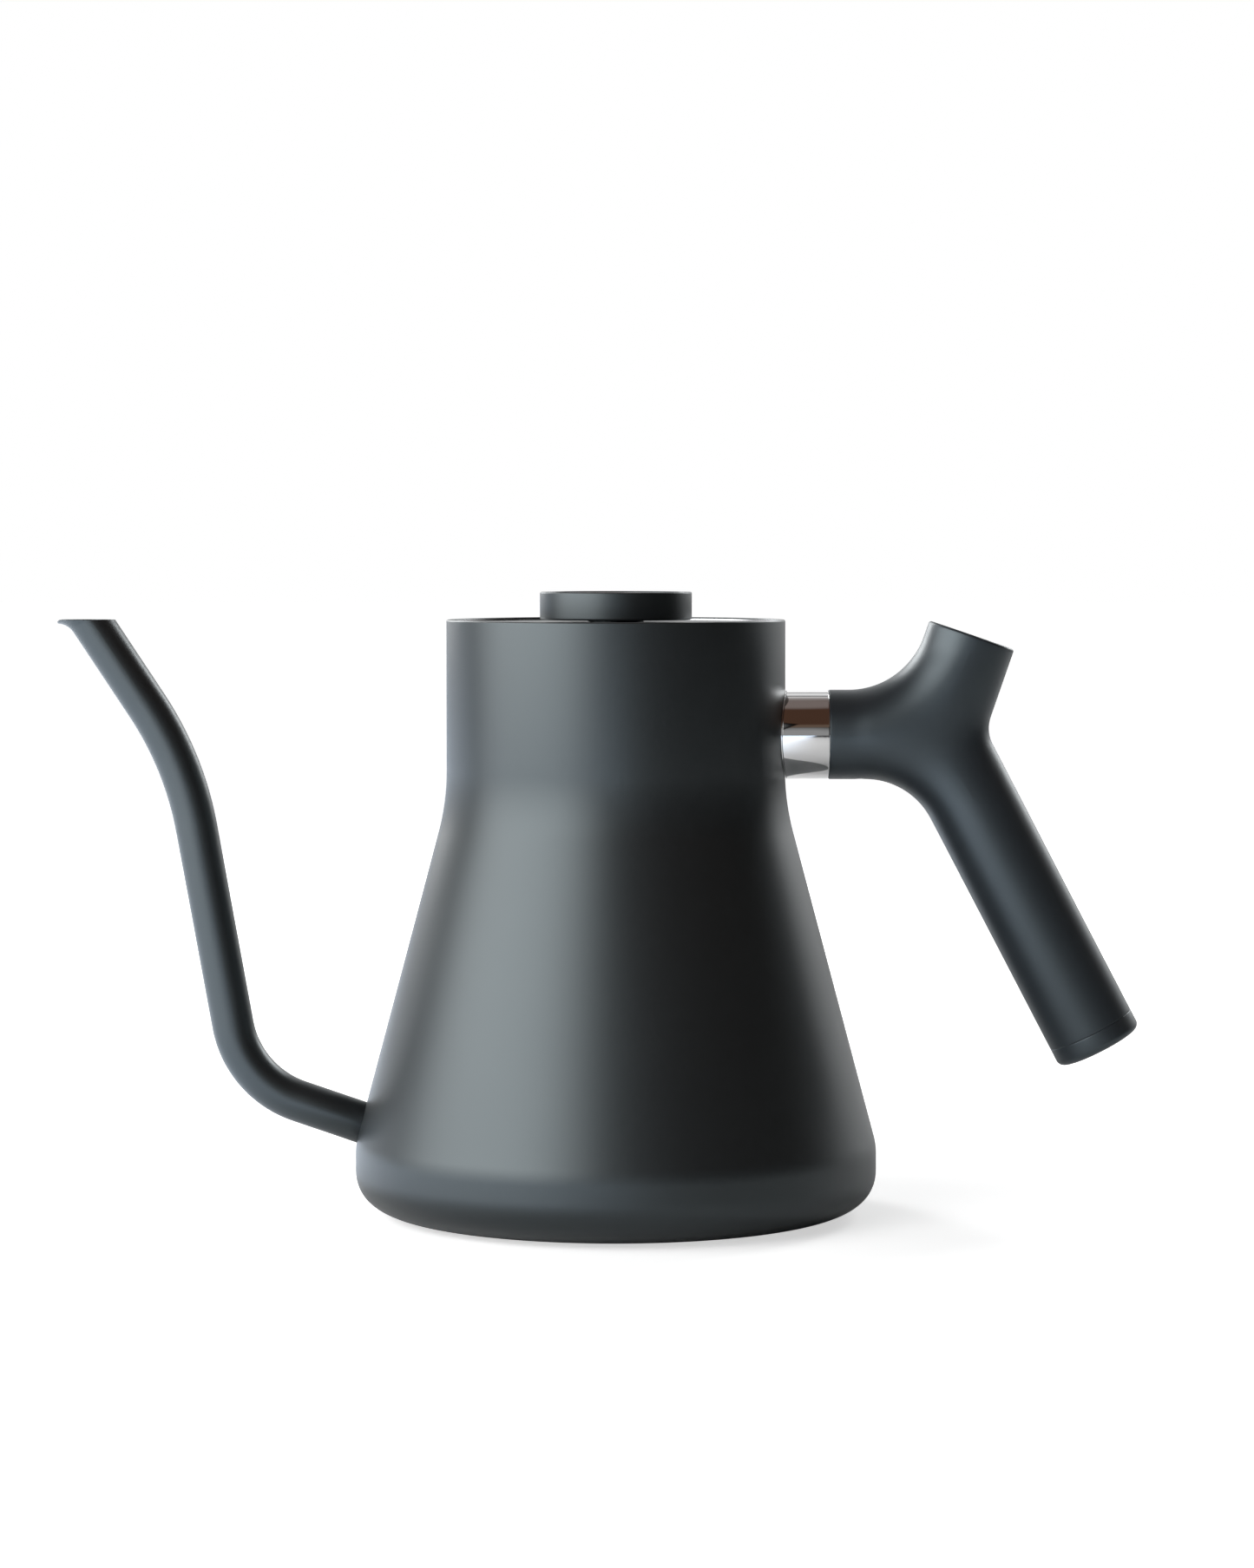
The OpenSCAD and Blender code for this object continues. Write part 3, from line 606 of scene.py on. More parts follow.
def full_corner(centre, across, up, steps):
    """A corner from straight below to straight outside, a little fuller than an ellipse's."""
    turns = [math.pi / 2 * i / steps for i in range(steps + 1)]
    return [(centre[0] + across * math.sin(t) ** (2 / FOOT_FULLNESS),
             centre[1] - up * max(0.0, math.cos(t)) ** (2 / FOOT_FULLNESS)) for t in turns]


def wall_outline(inset):
    """The spun outline from foot to rim, moved inwards by inset."""
    half = math.tan(math.radians(LEAN / 2))
    foot = (BASE_R - FOOT_W, FOOT_Z + FOOT_H)
    shoulder = (BASE_R - SHOULDER_R, SHOULDER_Z - SHOULDER_R * half)
    waist = (NECK_R + WAIST_R, WAIST_Z + WAIST_R * half)
    return (full_corner(foot, FOOT_W - inset, FOOT_H - inset, 48)
            + arc(shoulder, SHOULDER_R - inset, 0, LEAN, 14)
            + arc(waist, WAIST_R + inset, 180 + LEAN, 180, 40))


rim = arc((NECK_R - WALL / 2, RIM_Z - WALL / 2), WALL / 2, 0, 180, 12)
wall_points = ([(OPENING_R, FOOT_Z)] + wall_outline(0) + rim
               + wall_outline(WALL)[::-1] + [(OPENING_R, FOOT_Z + WALL)])
wall = turned_part("jug_wall", wall_points, 240, "powder_coat")
print("lean of the cone", round(LEAN, 2), "degrees")

# %% [markdown]
# ### The spout's route
# The spout is a tube bent twice. Its route is straight runs joined by arcs. The tube's end
# widens into a lip, so each point of the route carries its own radius.

# %% Spout's sizes
SPOUT_R, BORE_R = 5.65, 4.85
KNEE, ELBOW, MOUTH = (-101.0, 35.6), (-116.6, 122.6), (-141.8, RIM_Z)
KNEE_R, ELBOW_R = 27.0, 89.0
ROOT_X, ROOT_SLOPE = -60.0, 18.9
ROOT = (ROOT_X, KNEE[1] - (ROOT_X - KNEE[0]) * math.tan(math.radians(ROOT_SLOPE)))
LIP_R, LIP_ANGLE, BORE_LIP_ANGLE, LIP_START = 5.2, 52.0, 70.0, 0.4
LIP_HUB = LIP_R + SPOUT_R
print("spout's root", tuple(round(v, 1) for v in ROOT))

# %% Spout's bends
def bend(before, corner, after, r, steps):
    """The points of an arc of radius r that rounds a corner."""
    p, q, s = Vector(before), Vector(corner), Vector(after)
    come, go = (q - p).normalized(), (s - q).normalized()
    turned = come.angle(go)
    side = 1 if come.x * go.y - come.y * go.x > 0 else -1
    start = q - come * r * math.tan(turned / 2)
    centre = start + Vector((-come.y, come.x)) * side * r
    points = []
    for i in range(steps + 1):
        a = side * turned * i / steps
        arm = start - centre
        points.append(centre + Vector((arm.x * math.cos(a) - arm.y * math.sin(a),
                                       arm.x * math.sin(a) + arm.y * math.cos(a))))
    return points


print("lower bend starts at", tuple(round(v, 1) for v in bend(ROOT, KNEE, ELBOW, KNEE_R, 40)[0]))

# %% Spout's lip and route
def lip(r, angle):
    """The lip's (distance along, radius) points: an arc about a ring outside the tube."""
    return [(x, LIP_HUB + y) for x, y in arc((0, 0), LIP_HUB - r, -90, -90 + angle, 14)]


def lip_tip():
    """The round edge of the lip's sheet, from its outside over the tip."""
    middle = LIP_HUB - (SPOUT_R + BORE_R) / 2
    tip = (middle * math.sin(math.radians(LIP_ANGLE)), LIP_HUB - middle * math.cos(math.radians(LIP_ANGLE)))
    return arc(tip, (SPOUT_R - BORE_R) / 2, 90 + LIP_ANGLE, 0, 10)


def tube_route(r, end):
    """(points, radii) of the tube's route; end is the lip as (distance along, radius)."""
    end_way = (Vector(MOUTH) - Vector(ELBOW)).normalized()
    lip_base = Vector(MOUTH) - end_way * LIP_START
    points = [Vector(ROOT)] + bend(ROOT, KNEE, ELBOW, KNEE_R, 40) + bend(KNEE, ELBOW, MOUTH, ELBOW_R, 24)
    radii = [r] * len(points) + [wide for _, wide in end]
    return points + [lip_base + end_way * along for along, _ in end], radii


outer_route = tube_route(SPOUT_R, lip(SPOUT_R, LIP_ANGLE) + lip_tip()[1:])
inner_route = tube_route(BORE_R, lip(BORE_R, BORE_LIP_ANGLE))
print("route", len(outer_route[0]), "points, lip's widest", round(max(outer_route[1]), 2), "mm")

# %% [markdown]
# ### Sweeping the tube
# A bent tube is a circle carried along a route. The tree makes a curve of the route and carries
# a circle of radius one along it, scaled at each point by the radius that the point carries.
# A curve object with a round bevel would also do, but numbers along the route say more plainly
# how the lip opens.

# %% Sweep tree
sweep_tree, gin = geometry_tree("sweep_on_route", [("Sides", "Int", 64)])
t = sweep_tree
route = node(t, "GeometryNodeMeshToCurve", {"Mesh": gin["Geometry"]})
width = node(t, "GeometryNodeInputNamedAttribute", {"Name": "width"}, data_type="FLOAT")
profile = node(t, "GeometryNodeCurvePrimitiveCircle", {"Resolution": gin["Sides"], "Radius": 1.0})
sweep = node(t, "GeometryNodeCurveToMesh", {
    "Curve": route.outputs[0], "Profile Curve": profile.outputs[0],
    "Scale": width.outputs[0], "Fill Caps": True})
end_tree(t, sweep.outputs[0], gin)

# %% Spout's rods
def swept_tube(name, route, material):
    """A round rod along a route of (points, radii), in millimetres."""
    points, radii = route
    base = outline_object(name + "_route", [tuple(p) for p in points])
    widths = base.data.attributes.new("width", "FLOAT", "POINT")
    widths.data.foreach_set("value", [r * MM for r in radii])
    return tidy_mesh(run_tree(base, sweep_tree, name, Sides=72, Finish=FINISH[material]))


outer = swept_tube("spout_outer", outer_route, "powder_coat")
inner = swept_tube("spout_inner", inner_route, "powder_coat")
print("outer box", [round(v / MM, 2) for v in outer.dimensions])

# %% [markdown]
# ### Cutting the spout to shape
# The tube is made as a rod with the bore, the jug's inside and everything above the rim taken
# away. A boolean is right here, since that is how the real tube ends: sawn level with the
# rim, and cut to the jug's round wall. A small bevel then takes the burr off.

# %% Cutting tools
def keep_result(made, step):
    """Makes what a modifier gives the object's own plain mesh, and removes the modifier."""
    mesh = evaluated_mesh(made)
    made.modifiers.remove(step)
    mesh.name = made.name
    made.data = mesh
    return made


def cut(made, tool):
    """Takes one closed mesh out of another and throws the tool away."""
    step = made.modifiers.new("cut", "BOOLEAN")
    step.operation, step.object, step.solver, step.material_mode = "DIFFERENCE", tool, "MANIFOLD", "TRANSFER"
    keep_result(made, step)
    bpy.data.objects.remove(tool)
    return made


def bevelled(made, width, angle=35.0):
    """Rounds the edges that are sharper than an angle."""
    step = made.modifiers.new("bevel", "BEVEL")
    step.width, step.segments, step.limit_method = width * MM, 2, "ANGLE"
    step.angle_limit = math.radians(angle)
    return keep_result(made, step)


print("cutting tools ready")

# %% Solids from a bmesh
def built(name, bm, material):
    """An object from a bmesh, which is used up, in one finish."""
    mesh = bpy.data.meshes.new(name)
    bm.to_mesh(mesh)
    bm.free()
    mesh.materials.append(FINISH[material])
    return add_object(name, mesh)


def block(name, low, high, material):
    """A plain box between two corners in millimetres, as a cutting tool."""
    bm = bmesh.new()
    bmesh.ops.create_cube(bm, size=1.0)
    for v in bm.verts:
        v.co = [(low[i] + (v.co[i] + 0.5) * (high[i] - low[i])) * MM for i in range(3)]
    return built(name, bm, material)


print("solids ready")

# %% Spout tube
bore_again = swept_tube("spout_bore", inner_route, "fine_steel")
core_points = wall_outline(WALL / 2)
core = turned_part("jug_core", [(0, core_points[0][1])] + core_points + [(0, core_points[-1][1])],
                   180, "powder_coat")
above = block("above_rim", (-180, -20, RIM_Z), (-100, 20, RIM_Z + 20), "powder_coat")
spout = cut(cut(cut(outer, core), inner), above)
spout.name = "spout"
tidy_mesh(bevelled(spout, 0.12), 50)
cut(wall, bore_again)
tidy_mesh(wall, 32)
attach(spout, "kettle")
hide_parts("spout_tube")

# %% [markdown]
# ### Bare steel inside
# The coat is sprayed on the outside only. The faces that look at the jug's axis, and those
# that look up inside the foot, are given the spun steel. Picking them by the way they face is
# simpler than cutting the wall in two, and the line between the finishes lies on the rim.

# %% Bare steel inside the jug
wall.data.materials.clear()
for finish_name in ("powder_coat", "spun_steel"):
    wall.data.materials.append(FINISH[finish_name])
for face in wall.data.polygons:
    out = Vector((face.center.x, face.center.y, 0)).normalized()
    inside = face.normal.dot(out) < -0.02 and face.center.z < (RIM_Z - WALL) * MM
    floor_inside = face.normal.z > 0.3 and face.center.z < (FOOT_Z + FOOT_H) * MM
    face.material_index = int(inside or floor_inside)
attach(wall, "kettle")
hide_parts("body_shell")
print("bare faces", sum(f.material_index for f in wall.data.polygons))

# %% [markdown]
# ## The forked handle
# The neck, the thumb stub and the grip are one moulding of round bar section, with a rounded
# web in each crook. Modelling it as three crossing cylinders would leave creases. Here each
# crook is one strip of half circles that runs down one arm, round the crook's arc and out
# along the next arm. Three such strips close the form, and between them lies the web. All
# the strips use the same stations on an arm, so their edges weld without a seam.

# %% Handle's plan
GRIP_R, FORK = 12.1, Vector((86.8, HANDLE_Z))
ARMS = {"neck": 180.0, "stub": 71.1, "grip": -62.4}
CROOKS = [("stub", "neck", 21.5), ("neck", "grip", 20.0), ("grip", "stub", 9.0)]
COLLAR_END, STUB_LEN, SEAM, GRIP_LEN, BORE = 57.4, 28.4, 90.1, 95.5, 9.3
FLAT_FACE = (0.97, 0.9)  # shares of an end's radius that get a row each


def direction(degrees):
    return Vector((math.cos(math.radians(degrees)), math.sin(math.radians(degrees))))


def rounded_end(length, round_r, steps=8):
    """Stations (distance, radius) over an arm's rounded end and across its flat face."""
    edge = arc((length - round_r, GRIP_R - round_r), round_r, 90, 0, steps)
    return edge + [(length, (GRIP_R - round_r) * f) for f in FLAT_FACE]


def spaced(start, end, step):
    count = max(1, round((end - start) / step))
    return [start + (end - start) * i / count for i in range(count + 1)]


near = spaced(0, 26, 0.8)
stations = {
    "neck": [(s, GRIP_R) for s in near] + [(28, GRIP_R)] + rounded_end(FORK.x - COLLAR_END, 0.3),
    "stub": [(s, GRIP_R) for s in near] + rounded_end(STUB_LEN, 0.8),
    "grip": [(s, GRIP_R) for s in near + spaced(28, 89, 3)] + rounded_end(SEAM, 0.25),
}
SHELL_ROWS = {name: len(rows) - len(FLAT_FACE) for name, rows in stations.items()}
for name, bore, depth in (("neck", 8.05, 6.4), ("grip", BORE, 30.0)):
    mouth = stations[name][-1][0]
    stations[name] += [(mouth, bore + 0.3), (mouth - 0.3, bore)] + [(depth, bore * f) for f in (1, 0.5, 0)]
stations["stub"] += [(STUB_LEN, (GRIP_R - 0.8) * f) for f in (0.6, 0.3, 0)]
print({name: len(rows) for name, rows in stations.items()})

# %% Crook plans
def crook_plan(arm_a, arm_b, hollow):
    """What places one crook: hub, bend radius, reach along the arms, and the two arms' ways."""
    a, b = ARMS[arm_a], ARMS[arm_b]
    b += 360 if b < a else 0
    half = math.radians(b - a) / 2
    bend = hollow + GRIP_R
    hub = FORK + direction((a + b) / 2) * bend / math.sin(half)
    ways = [(direction(a), direction(a + 90)), (direction(b), direction(b - 90))]
    return hub, bend, bend / math.tan(half), ways


PLANS = [crook_plan(*crook) for crook in CROOKS]
print("crooks reach", [round(reach, 1) for _, _, reach, _ in PLANS], "mm along the arms")

# %% Crook strips
ROUND_STEPS, WEB_STEPS = 28, 10


def crook_rows(names, plan):
    """Rows of points for one strip: the half circles, with the web's points at both ends."""
    hub, bend, reach, ways = plan
    to_fork = math.degrees(math.atan2(FORK.y - hub.y, FORK.x - hub.x))
    half_turn = 90 - math.degrees(math.atan2(bend, reach))
    rows = []
    for name, (way, side), sign in zip(names, ways, (1, -1)):
        made = []
        for k, (s, r) in enumerate(stations[name]):
            axis = FORK + way * s
            spot, out = axis, side
            if s < reach and k < SHELL_ROWS[name]:
                out = -direction(to_fork + sign * half_turn * s / reach)
                spot = hub - out * bend
            across = []
            for i in range(ROUND_STEPS + 1):
                angle = math.pi * i / ROUND_STEPS
                flat = spot + out * r * math.sin(angle)
                across.append((flat.x, -r * math.cos(angle), flat.y))
            web = [axis + (spot - axis) * i / WEB_STEPS for i in range(WEB_STEPS)]
            made.append([(p.x, -r, p.y) for p in web] + across + [(p.x, r, p.y) for p in web[::-1]])
        rows = made[::-1] if sign > 0 else rows + made[1:]
    return rows


print("points across a strip", ROUND_STEPS + 1 + 2 * WEB_STEPS)

# %% Handle mesh
def skin(bm, rows, rings=True):
    """Quads between neighbouring rows of points, in millimetres. Rings are closed and get end faces."""
    rows = [[bm.verts.new([c * MM for c in p]) for p in row] for row in rows]
    for one, two in zip(rows, rows[1:]):
        for i in range(len(one) if rings else len(one) - 1):
            k = (i + 1) % len(one)
            bm.faces.new((one[i], one[k], two[k], two[i]))
    if rings:
        bm.faces.new(rows[0])
        bm.faces.new(rows[-1])


bm = bmesh.new()
for crook, plan in zip(CROOKS, PLANS):
    skin(bm, crook_rows(crook[:2], plan), rings=False)
bmesh.ops.remove_doubles(bm, verts=bm.verts, dist=2e-6)
bmesh.ops.recalc_face_normals(bm, faces=bm.faces)
print("handle", len(bm.faces), "faces, open edges", sum(not e.is_manifold for e in bm.edges))

# %% [markdown]
# ### Blending the fork
# A moulded handle has no flat plate in its fork: the toolmaker blends it until a hand can't
# find where one bar ends. A film stretched over the outline and blown up gives that shape.
# Along a straight bar, the square of the half thickness is R squared less the distance from
# the axis squared, and its Laplacian is the same everywhere. So the same rule is solved for
# the whole fork on a fine grid. The outline and the plain arms keep their shape.

# %% Handle's outline as a field
def bar_height(x, z):
    """Square of the half thickness of the plain bars, webs and plate; below zero outside them."""
    px, pz = x - FORK.x, z - FORK.y
    most = np.full(np.shape(px), -1e9)
    for hub, bend, reach, arms in PLANS:
        (wa, sa), (wb, sb) = arms
        along = [px * w.x + pz * w.y for w in (wa, wb)]
        beside = [px * s.x + pz * s.y for s in (sa, sb)]
        corner = bend - np.hypot(x - hub.x, z - hub.y)
        on_a = (along[0] >= reach) & (along[0] > along[1])
        on_b = (along[1] >= reach) & ~on_a
        most = np.maximum(most, np.where(on_a, beside[0], np.where(on_b, beside[1], corner)))
    return GRIP_R ** 2 - np.sign(most) * np.maximum(most, 0) ** 2


print("height at the fork", round(float(bar_height(FORK.x, FORK.y)), 2), "mm2")

# %% Solve the film
STEP, HALF_SPAN, BLEND_END, FADE = 0.4, 28.0, 26.0, 8.0
PRESS_R, OVERSHOOT = 11.0, 1.9
line = np.arange(-HALF_SPAN, HALF_SPAN + STEP / 2, STEP)
grid_x, grid_z = np.meshgrid(line + FORK.x, line + FORK.y, indexing="ij")
plain = bar_height(grid_x, grid_z)
away = np.hypot(grid_x - FORK.x, grid_z - FORK.y)
free = (plain > 0) & (away < BLEND_END)
odd = (np.add.outer(np.arange(len(line)), np.arange(len(line))) % 2).astype(bool)


def film(edge, load, rounds=260):
    """Solves for a film whose Laplacian is -load on the free points and that keeps its edge."""
    made = edge.copy()
    for _ in range(rounds):
        for turn in (free & odd, free & ~odd):
            around = np.zeros_like(made)
            around[1:-1, 1:-1] = made[2:, 1:-1] + made[:-2, 1:-1] + made[1:-1, 2:] + made[1:-1, :-2]
            step = (around + load * STEP ** 2) / 4 - made
            made[turn] += OVERSHOOT * step[turn]
    return made


middle = len(line) // 2
blown = film(plain, np.full_like(plain, 2.0))
pressed = film(np.zeros_like(plain), np.exp(-(away / PRESS_R) ** 2))
share = (blown[middle, middle] - GRIP_R ** 2) / pressed[middle, middle]
change = blown - share * pressed - plain
print("film at the fork", round(math.sqrt(blown[middle, middle]), 2), "mm before it is pressed to", GRIP_R)

# %% Lay the film on the handle
def film_change(x, z):
    """The film's change to the plain height at one place, between grid points."""
    u, w = (x - FORK.x + HALF_SPAN) / STEP, (z - FORK.y + HALF_SPAN) / STEP
    i, k = int(u), int(w)
    if not (0 <= i < len(line) - 1 and 0 <= k < len(line) - 1):
        return 0.0
    fu, fw = u - i, w - k
    rows = change[i:i + 2, k:k + 2]
    return float((rows[0] * (1 - fu) + rows[1] * fu) @ (1 - fw, fw))


THIN = 0.2
moved = 0.0
for v in bm.verts:
    x, y, z = v.co / MM
    away_here = math.hypot(x - FORK.x, z - FORK.y)
    height = float(bar_height(x, z))
    # Points far from the fork, on the outline and inside the bores stay where they are.
    if away_here > BLEND_END or abs(y) < THIN or y * y < height - 1.0:
        continue
    fade = min(1.0, (BLEND_END - away_here) / FADE)
    fade *= fade * (3 - 2 * fade)
    new = math.copysign(math.sqrt(max(THIN ** 2, height + fade * film_change(x, z))), y)
    moved = max(moved, abs(new - y))
    v.co.y = new * MM
print("largest change", round(moved, 2), "mm")

# %% Finish the handle
handle = built("forked_handle", bm, "grip_moulding")
print("handle box", [round(v / MM, 2) for v in handle.dimensions])
tidy_mesh(handle, 40)

# %% [markdown]
# ### The hole for the set screw
# The handle slides on a steel bar, and one screw from below holds it there. The hole is cut
# through the shell into the bore, so that the screw's head really sits in it.

# %% Cut the screw hole
SCREW_X, SCREW_LOW = 66.0, 116.9
hole = turned_part("screw_hole", [(0, SCREW_LOW), (2.0, SCREW_LOW), (2.0, 126), (0, 126)],
                   48, "grip_moulding")
hole.data.transform(Matrix.Translation((SCREW_X * MM, 0, 0)))
cut(handle, hole)
tidy_mesh(handle, 40)
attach(handle, "kettle")
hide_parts("handle_shell")

# %% [markdown]
# ### The grip's cap
# The cap closes the grip over the balance weight. All that shows of it is a fine seam and a
# rounder edge than the stub has. It is turned about the grip's own axis, so it is made
# upright at the origin and its mesh is then moved to the fork, and the object stays unturned.

# %% End cap
PLUG_R = BORE - 0.1
cap_points = ([(0, SEAM - 6), (PLUG_R, SEAM - 6), (PLUG_R, SEAM - 4), (PLUG_R - 1, SEAM - 4),
               (PLUG_R - 1, SEAM - 2), (PLUG_R, SEAM - 2), (PLUG_R, SEAM)]
              + arc((GRIP_R - 0.25, SEAM + 0.25), 0.25, -90, 0, 5)
              + arc((GRIP_R - 1.8, GRIP_LEN - 1.8), 1.8, 0, 90, 12)
              + [(GRIP_R * f, GRIP_LEN) for f in (0.6, 0.25, 0)])
cap = turned_part("grip_cap", cap_points, 96, "grip_moulding", 40)
down_the_grip = Matrix.Translation((FORK.x * MM, 0, FORK.y * MM)) @ Matrix.Rotation(
    math.radians(90 - ARMS["grip"]), 4, "Y")
cap.data.transform(down_the_grip)
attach(cap, "kettle")
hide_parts("handle_end_cap")

# %% [markdown]
# ### The polished collar
# A short sleeve of polished steel stands between the jug and the handle. It meets the
# jug's round wall, so its left end is a saddle. The ring is turned straight first. Then each
# point slides along the axis: not at all at the handle's end, and up to the wall at the other.
# A groove at each end gives the thin dark lines where the parts meet.

# %% Collar
COLLAR_R, SPIGOT_R = GRIP_R - 0.1, 8.0
reach = COLLAR_END - NECK_R
collar_points = ([(SPIGOT_R, -0.3), (COLLAR_R - 0.5, -0.3), (COLLAR_R - 0.5, 0.2)]
                 + arc((COLLAR_R - 0.3, 0.5), 0.3, -90, 0, 6)
                 + arc((COLLAR_R - 0.3, reach - 0.35), 0.3, 0, 90, 6)
                 + [(COLLAR_R - 0.5, reach - 0.05), (COLLAR_R - 0.5, reach), (SPIGOT_R, reach)])
collar = turned_part("collar", collar_points, 160, "polished_steel", 50)
for v in collar.data.vertices:
    radius_x, y, along = v.co.x, v.co.y, v.co.z / MM
    wall_x = math.sqrt(NECK_R ** 2 - (y / MM) ** 2)
    share = along / reach
    v.co = (MM * (wall_x + share * (COLLAR_END - wall_x)), y, HANDLE_Z * MM - radius_x)
tidy_mesh(collar, 50)
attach(collar, "kettle")
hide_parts("handle_collar")

# %% [markdown]
# ## The lid and its thermometer
# The lid's knob is the thermometer's case: a coated puck on a narrower shoulder, with the
# dial sunk in its top under a flat glass. Everything here is turned.

# %% Thermometer case
PUCK_R, PUCK_H, WELL_R, STEM_R, STEM_LOW, PLATE_TOP = 20.5, 7.5, 19.0, 4.0, 145.2, RIM_Z - 0.8
case_points = ([(2.4, STEM_LOW), (STEM_R - 0.4, STEM_LOW), (STEM_R, STEM_LOW + 0.4), (STEM_R, PLATE_TOP),
                (7.5, PLATE_TOP), (7.5, RIM_Z)]
               + arc((PUCK_R - 0.6, RIM_Z + 0.6), 0.6, -90, 0, 8)
               + arc((PUCK_R - 0.4, RIM_Z + PUCK_H - 0.4), 0.4, 0, 90, 8)
               + arc((WELL_R + 0.2, RIM_Z + PUCK_H - 0.2), 0.2, 90, 180, 4)
               + [(WELL_R, RIM_Z + 2.4), (6, RIM_Z + 2.4), (6, RIM_Z + 1.4), (2.4, RIM_Z + 1.4)])
puck = turned_part("thermometer_case", case_points, 200, "powder_coat")
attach(puck, "lid")
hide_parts("dial_case")

# %% Glass and its ring
LENS_T, LENS_R, LENS_EDGE = 1.1, WELL_R - 0.05, 0.15
lens_z = RIM_Z + PUCK_H - 1.9
ring_z = lens_z + LENS_T
glass_points = [(0, lens_z), (LENS_R - LENS_EDGE, lens_z), (LENS_R, lens_z + LENS_EDGE),
                (LENS_R, ring_z - LENS_EDGE), (LENS_R - LENS_EDGE, ring_z), (0, ring_z)]
glass = turned_part("dial_glass", glass_points, 160, "clear_lens", 30)
ring_points = ([(WELL_R - 0.02, ring_z)] + arc((WELL_R - 0.17, ring_z + 0.35), 0.15, 0, 90, 4)
               + arc((WELL_R - 1.05, ring_z + 0.35), 0.15, 90, 180, 4) + [(WELL_R - 1.2, ring_z)])
ring = turned_part("glass_ring", ring_points, 160, "bright_ring", 40)
for made, node_name, slot_name in ((glass, "dial_lens", "lens_glass"), (ring, "lens_ring", "bezel")):
    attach(made, "lid")
    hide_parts(node_name)

# %% [markdown]
# ### The dial's scale
# The coil turns the pointer three degrees for each degree of heat, clockwise from a stop at
# the lower left. The scale is printed: short lines every two degrees, longer ones every ten.
# One Geometry Nodes tree sets the lines out. It puts points on the scale, picks each fifth
# one, and gives every point a bar of the right length, turned to face the centre.

# %% Scale tree
DIAL_Z = RIM_Z + 3
COLD_ANGLE, COLD, HOT, PER_DEGREE = 225.0, 20, 110, 3.0
SHORT_LINE, LONG_LINE = (1.3, 0.18, 0.04), (2.3, 0.34, 0.04)
tick_tree, gin = geometry_tree("scale_lines", [
    ("Count", "Int", 46), ("Start", "Float", 0.0), ("Step", "Float", 0.0), ("Radius", "Float", 0.0172),
    ("Height", "Float", 0.164)])
t = tick_tree
index = node(t, "GeometryNodeInputIndex").outputs[0]
turn_by = maths(t, "SUBTRACT", gin["Start"], maths(t, "MULTIPLY", index, gin["Step"]))
x, y = (maths(t, "MULTIPLY", maths(t, share, turn_by), gin["Radius"]) for share in ("COSINE", "SINE"))
spot = node(t, "ShaderNodeCombineXYZ", {"X": x, "Y": y, "Z": gin["Height"]})
facing = node(t, "ShaderNodeCombineXYZ", {"Z": turn_by})
dots = node(t, "GeometryNodeMeshLine", {"Count": gin["Count"]})
placed = node(t, "GeometryNodeSetPosition", {"Geometry": dots.outputs[0], "Position": spot.outputs[0]})
fifth = maths(t, "LESS_THAN", maths(t, "MODULO", index, 5), 0.5)
both = node(t, "GeometryNodeJoinGeometry")
for size, picked in ((SHORT_LINE, maths(t, "SUBTRACT", 1.0, fifth)), (LONG_LINE, fifth)):
    bar = node(t, "GeometryNodeMeshCube", {"Size": [side * MM for side in size]})
    inward = node(t, "GeometryNodeTransform", {
        "Geometry": bar.outputs["Mesh"], "Translation": (-size[0] * MM / 2, 0, 0)})
    on_dots = node(t, "GeometryNodeInstanceOnPoints", {
        "Points": placed.outputs[0], "Selection": picked, "Instance": inward.outputs[0],
        "Rotation": facing.outputs[0]})
    feed(t, both, {0: on_dots.outputs[0]})
end_tree(t, both.outputs[0], gin)

# %% Scale lines
SCALE_R = 17.2
lines = run_tree(outline_object("scale_base", [(0, 0), (1, 0)]), tick_tree, "scale_lines",
                 Count=(HOT - COLD) // 2 + 1, Start=math.radians(COLD_ANGLE),
                 Step=math.radians(PER_DEGREE * 2), Radius=SCALE_R * MM, Height=(DIAL_Z + 0.01) * MM,
                 Finish=FINISH["dial_ink"])
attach(lines, "lid")
print("scale faces", len(lines.data.polygons))

# %% [markdown]
# ### Numbers and the brewing band
# The numbers are text, made a mesh before they are placed, and stand upright so that they
# read from the front. A short orange band marks the heat that suits coffee.

# %% Dial numbers
NUMBER_R, NUMBER_SIZE = 12.2, 2.4


def heat_angle(heat):
    return math.radians(COLD_ANGLE - PER_DEGREE * (heat - COLD))


numbers = bmesh.new()
for heat in range(COLD, HOT + 1, 10):
    curve = bpy.data.curves.new("number", "FONT")
    curve.body, curve.size, curve.resolution_u = str(heat), NUMBER_SIZE * MM, 3
    curve.align_x, curve.align_y, curve.extrude = "CENTER", "CENTER", 0.02 * MM
    text = add_object("number", curve)
    flat = evaluated_mesh(text)
    a, r = heat_angle(heat), NUMBER_R * MM
    flat.transform(Matrix.Translation((r * math.cos(a), r * math.sin(a), (DIAL_Z + 0.02) * MM)))
    numbers.from_mesh(flat)
    bpy.data.objects.remove(text)
    bpy.data.meshes.remove(flat)
figures = tidy_mesh(built("dial_numbers", numbers, "dial_ink"), 30)
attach(figures, "lid")

# %% Brewing band
BAND_STEPS, BAND_T, BAND_R = 16, 0.02, SCALE_R - SHORT_LINE[0]
bm = bmesh.new()
start, end = heat_angle(88), heat_angle(96)
turns = [start + (end - start) * i / BAND_STEPS for i in range(BAND_STEPS + 1)]
skin(bm, [[(r * math.cos(a), r * math.sin(a), DIAL_Z + h)
           for r, h in ((BAND_R, 0), (SCALE_R, 0), (SCALE_R, BAND_T), (BAND_R, BAND_T))] for a in turns])
band = tidy_mesh(built("brewing_band", bm, "signal_paint"), 30)
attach(band, "lid")

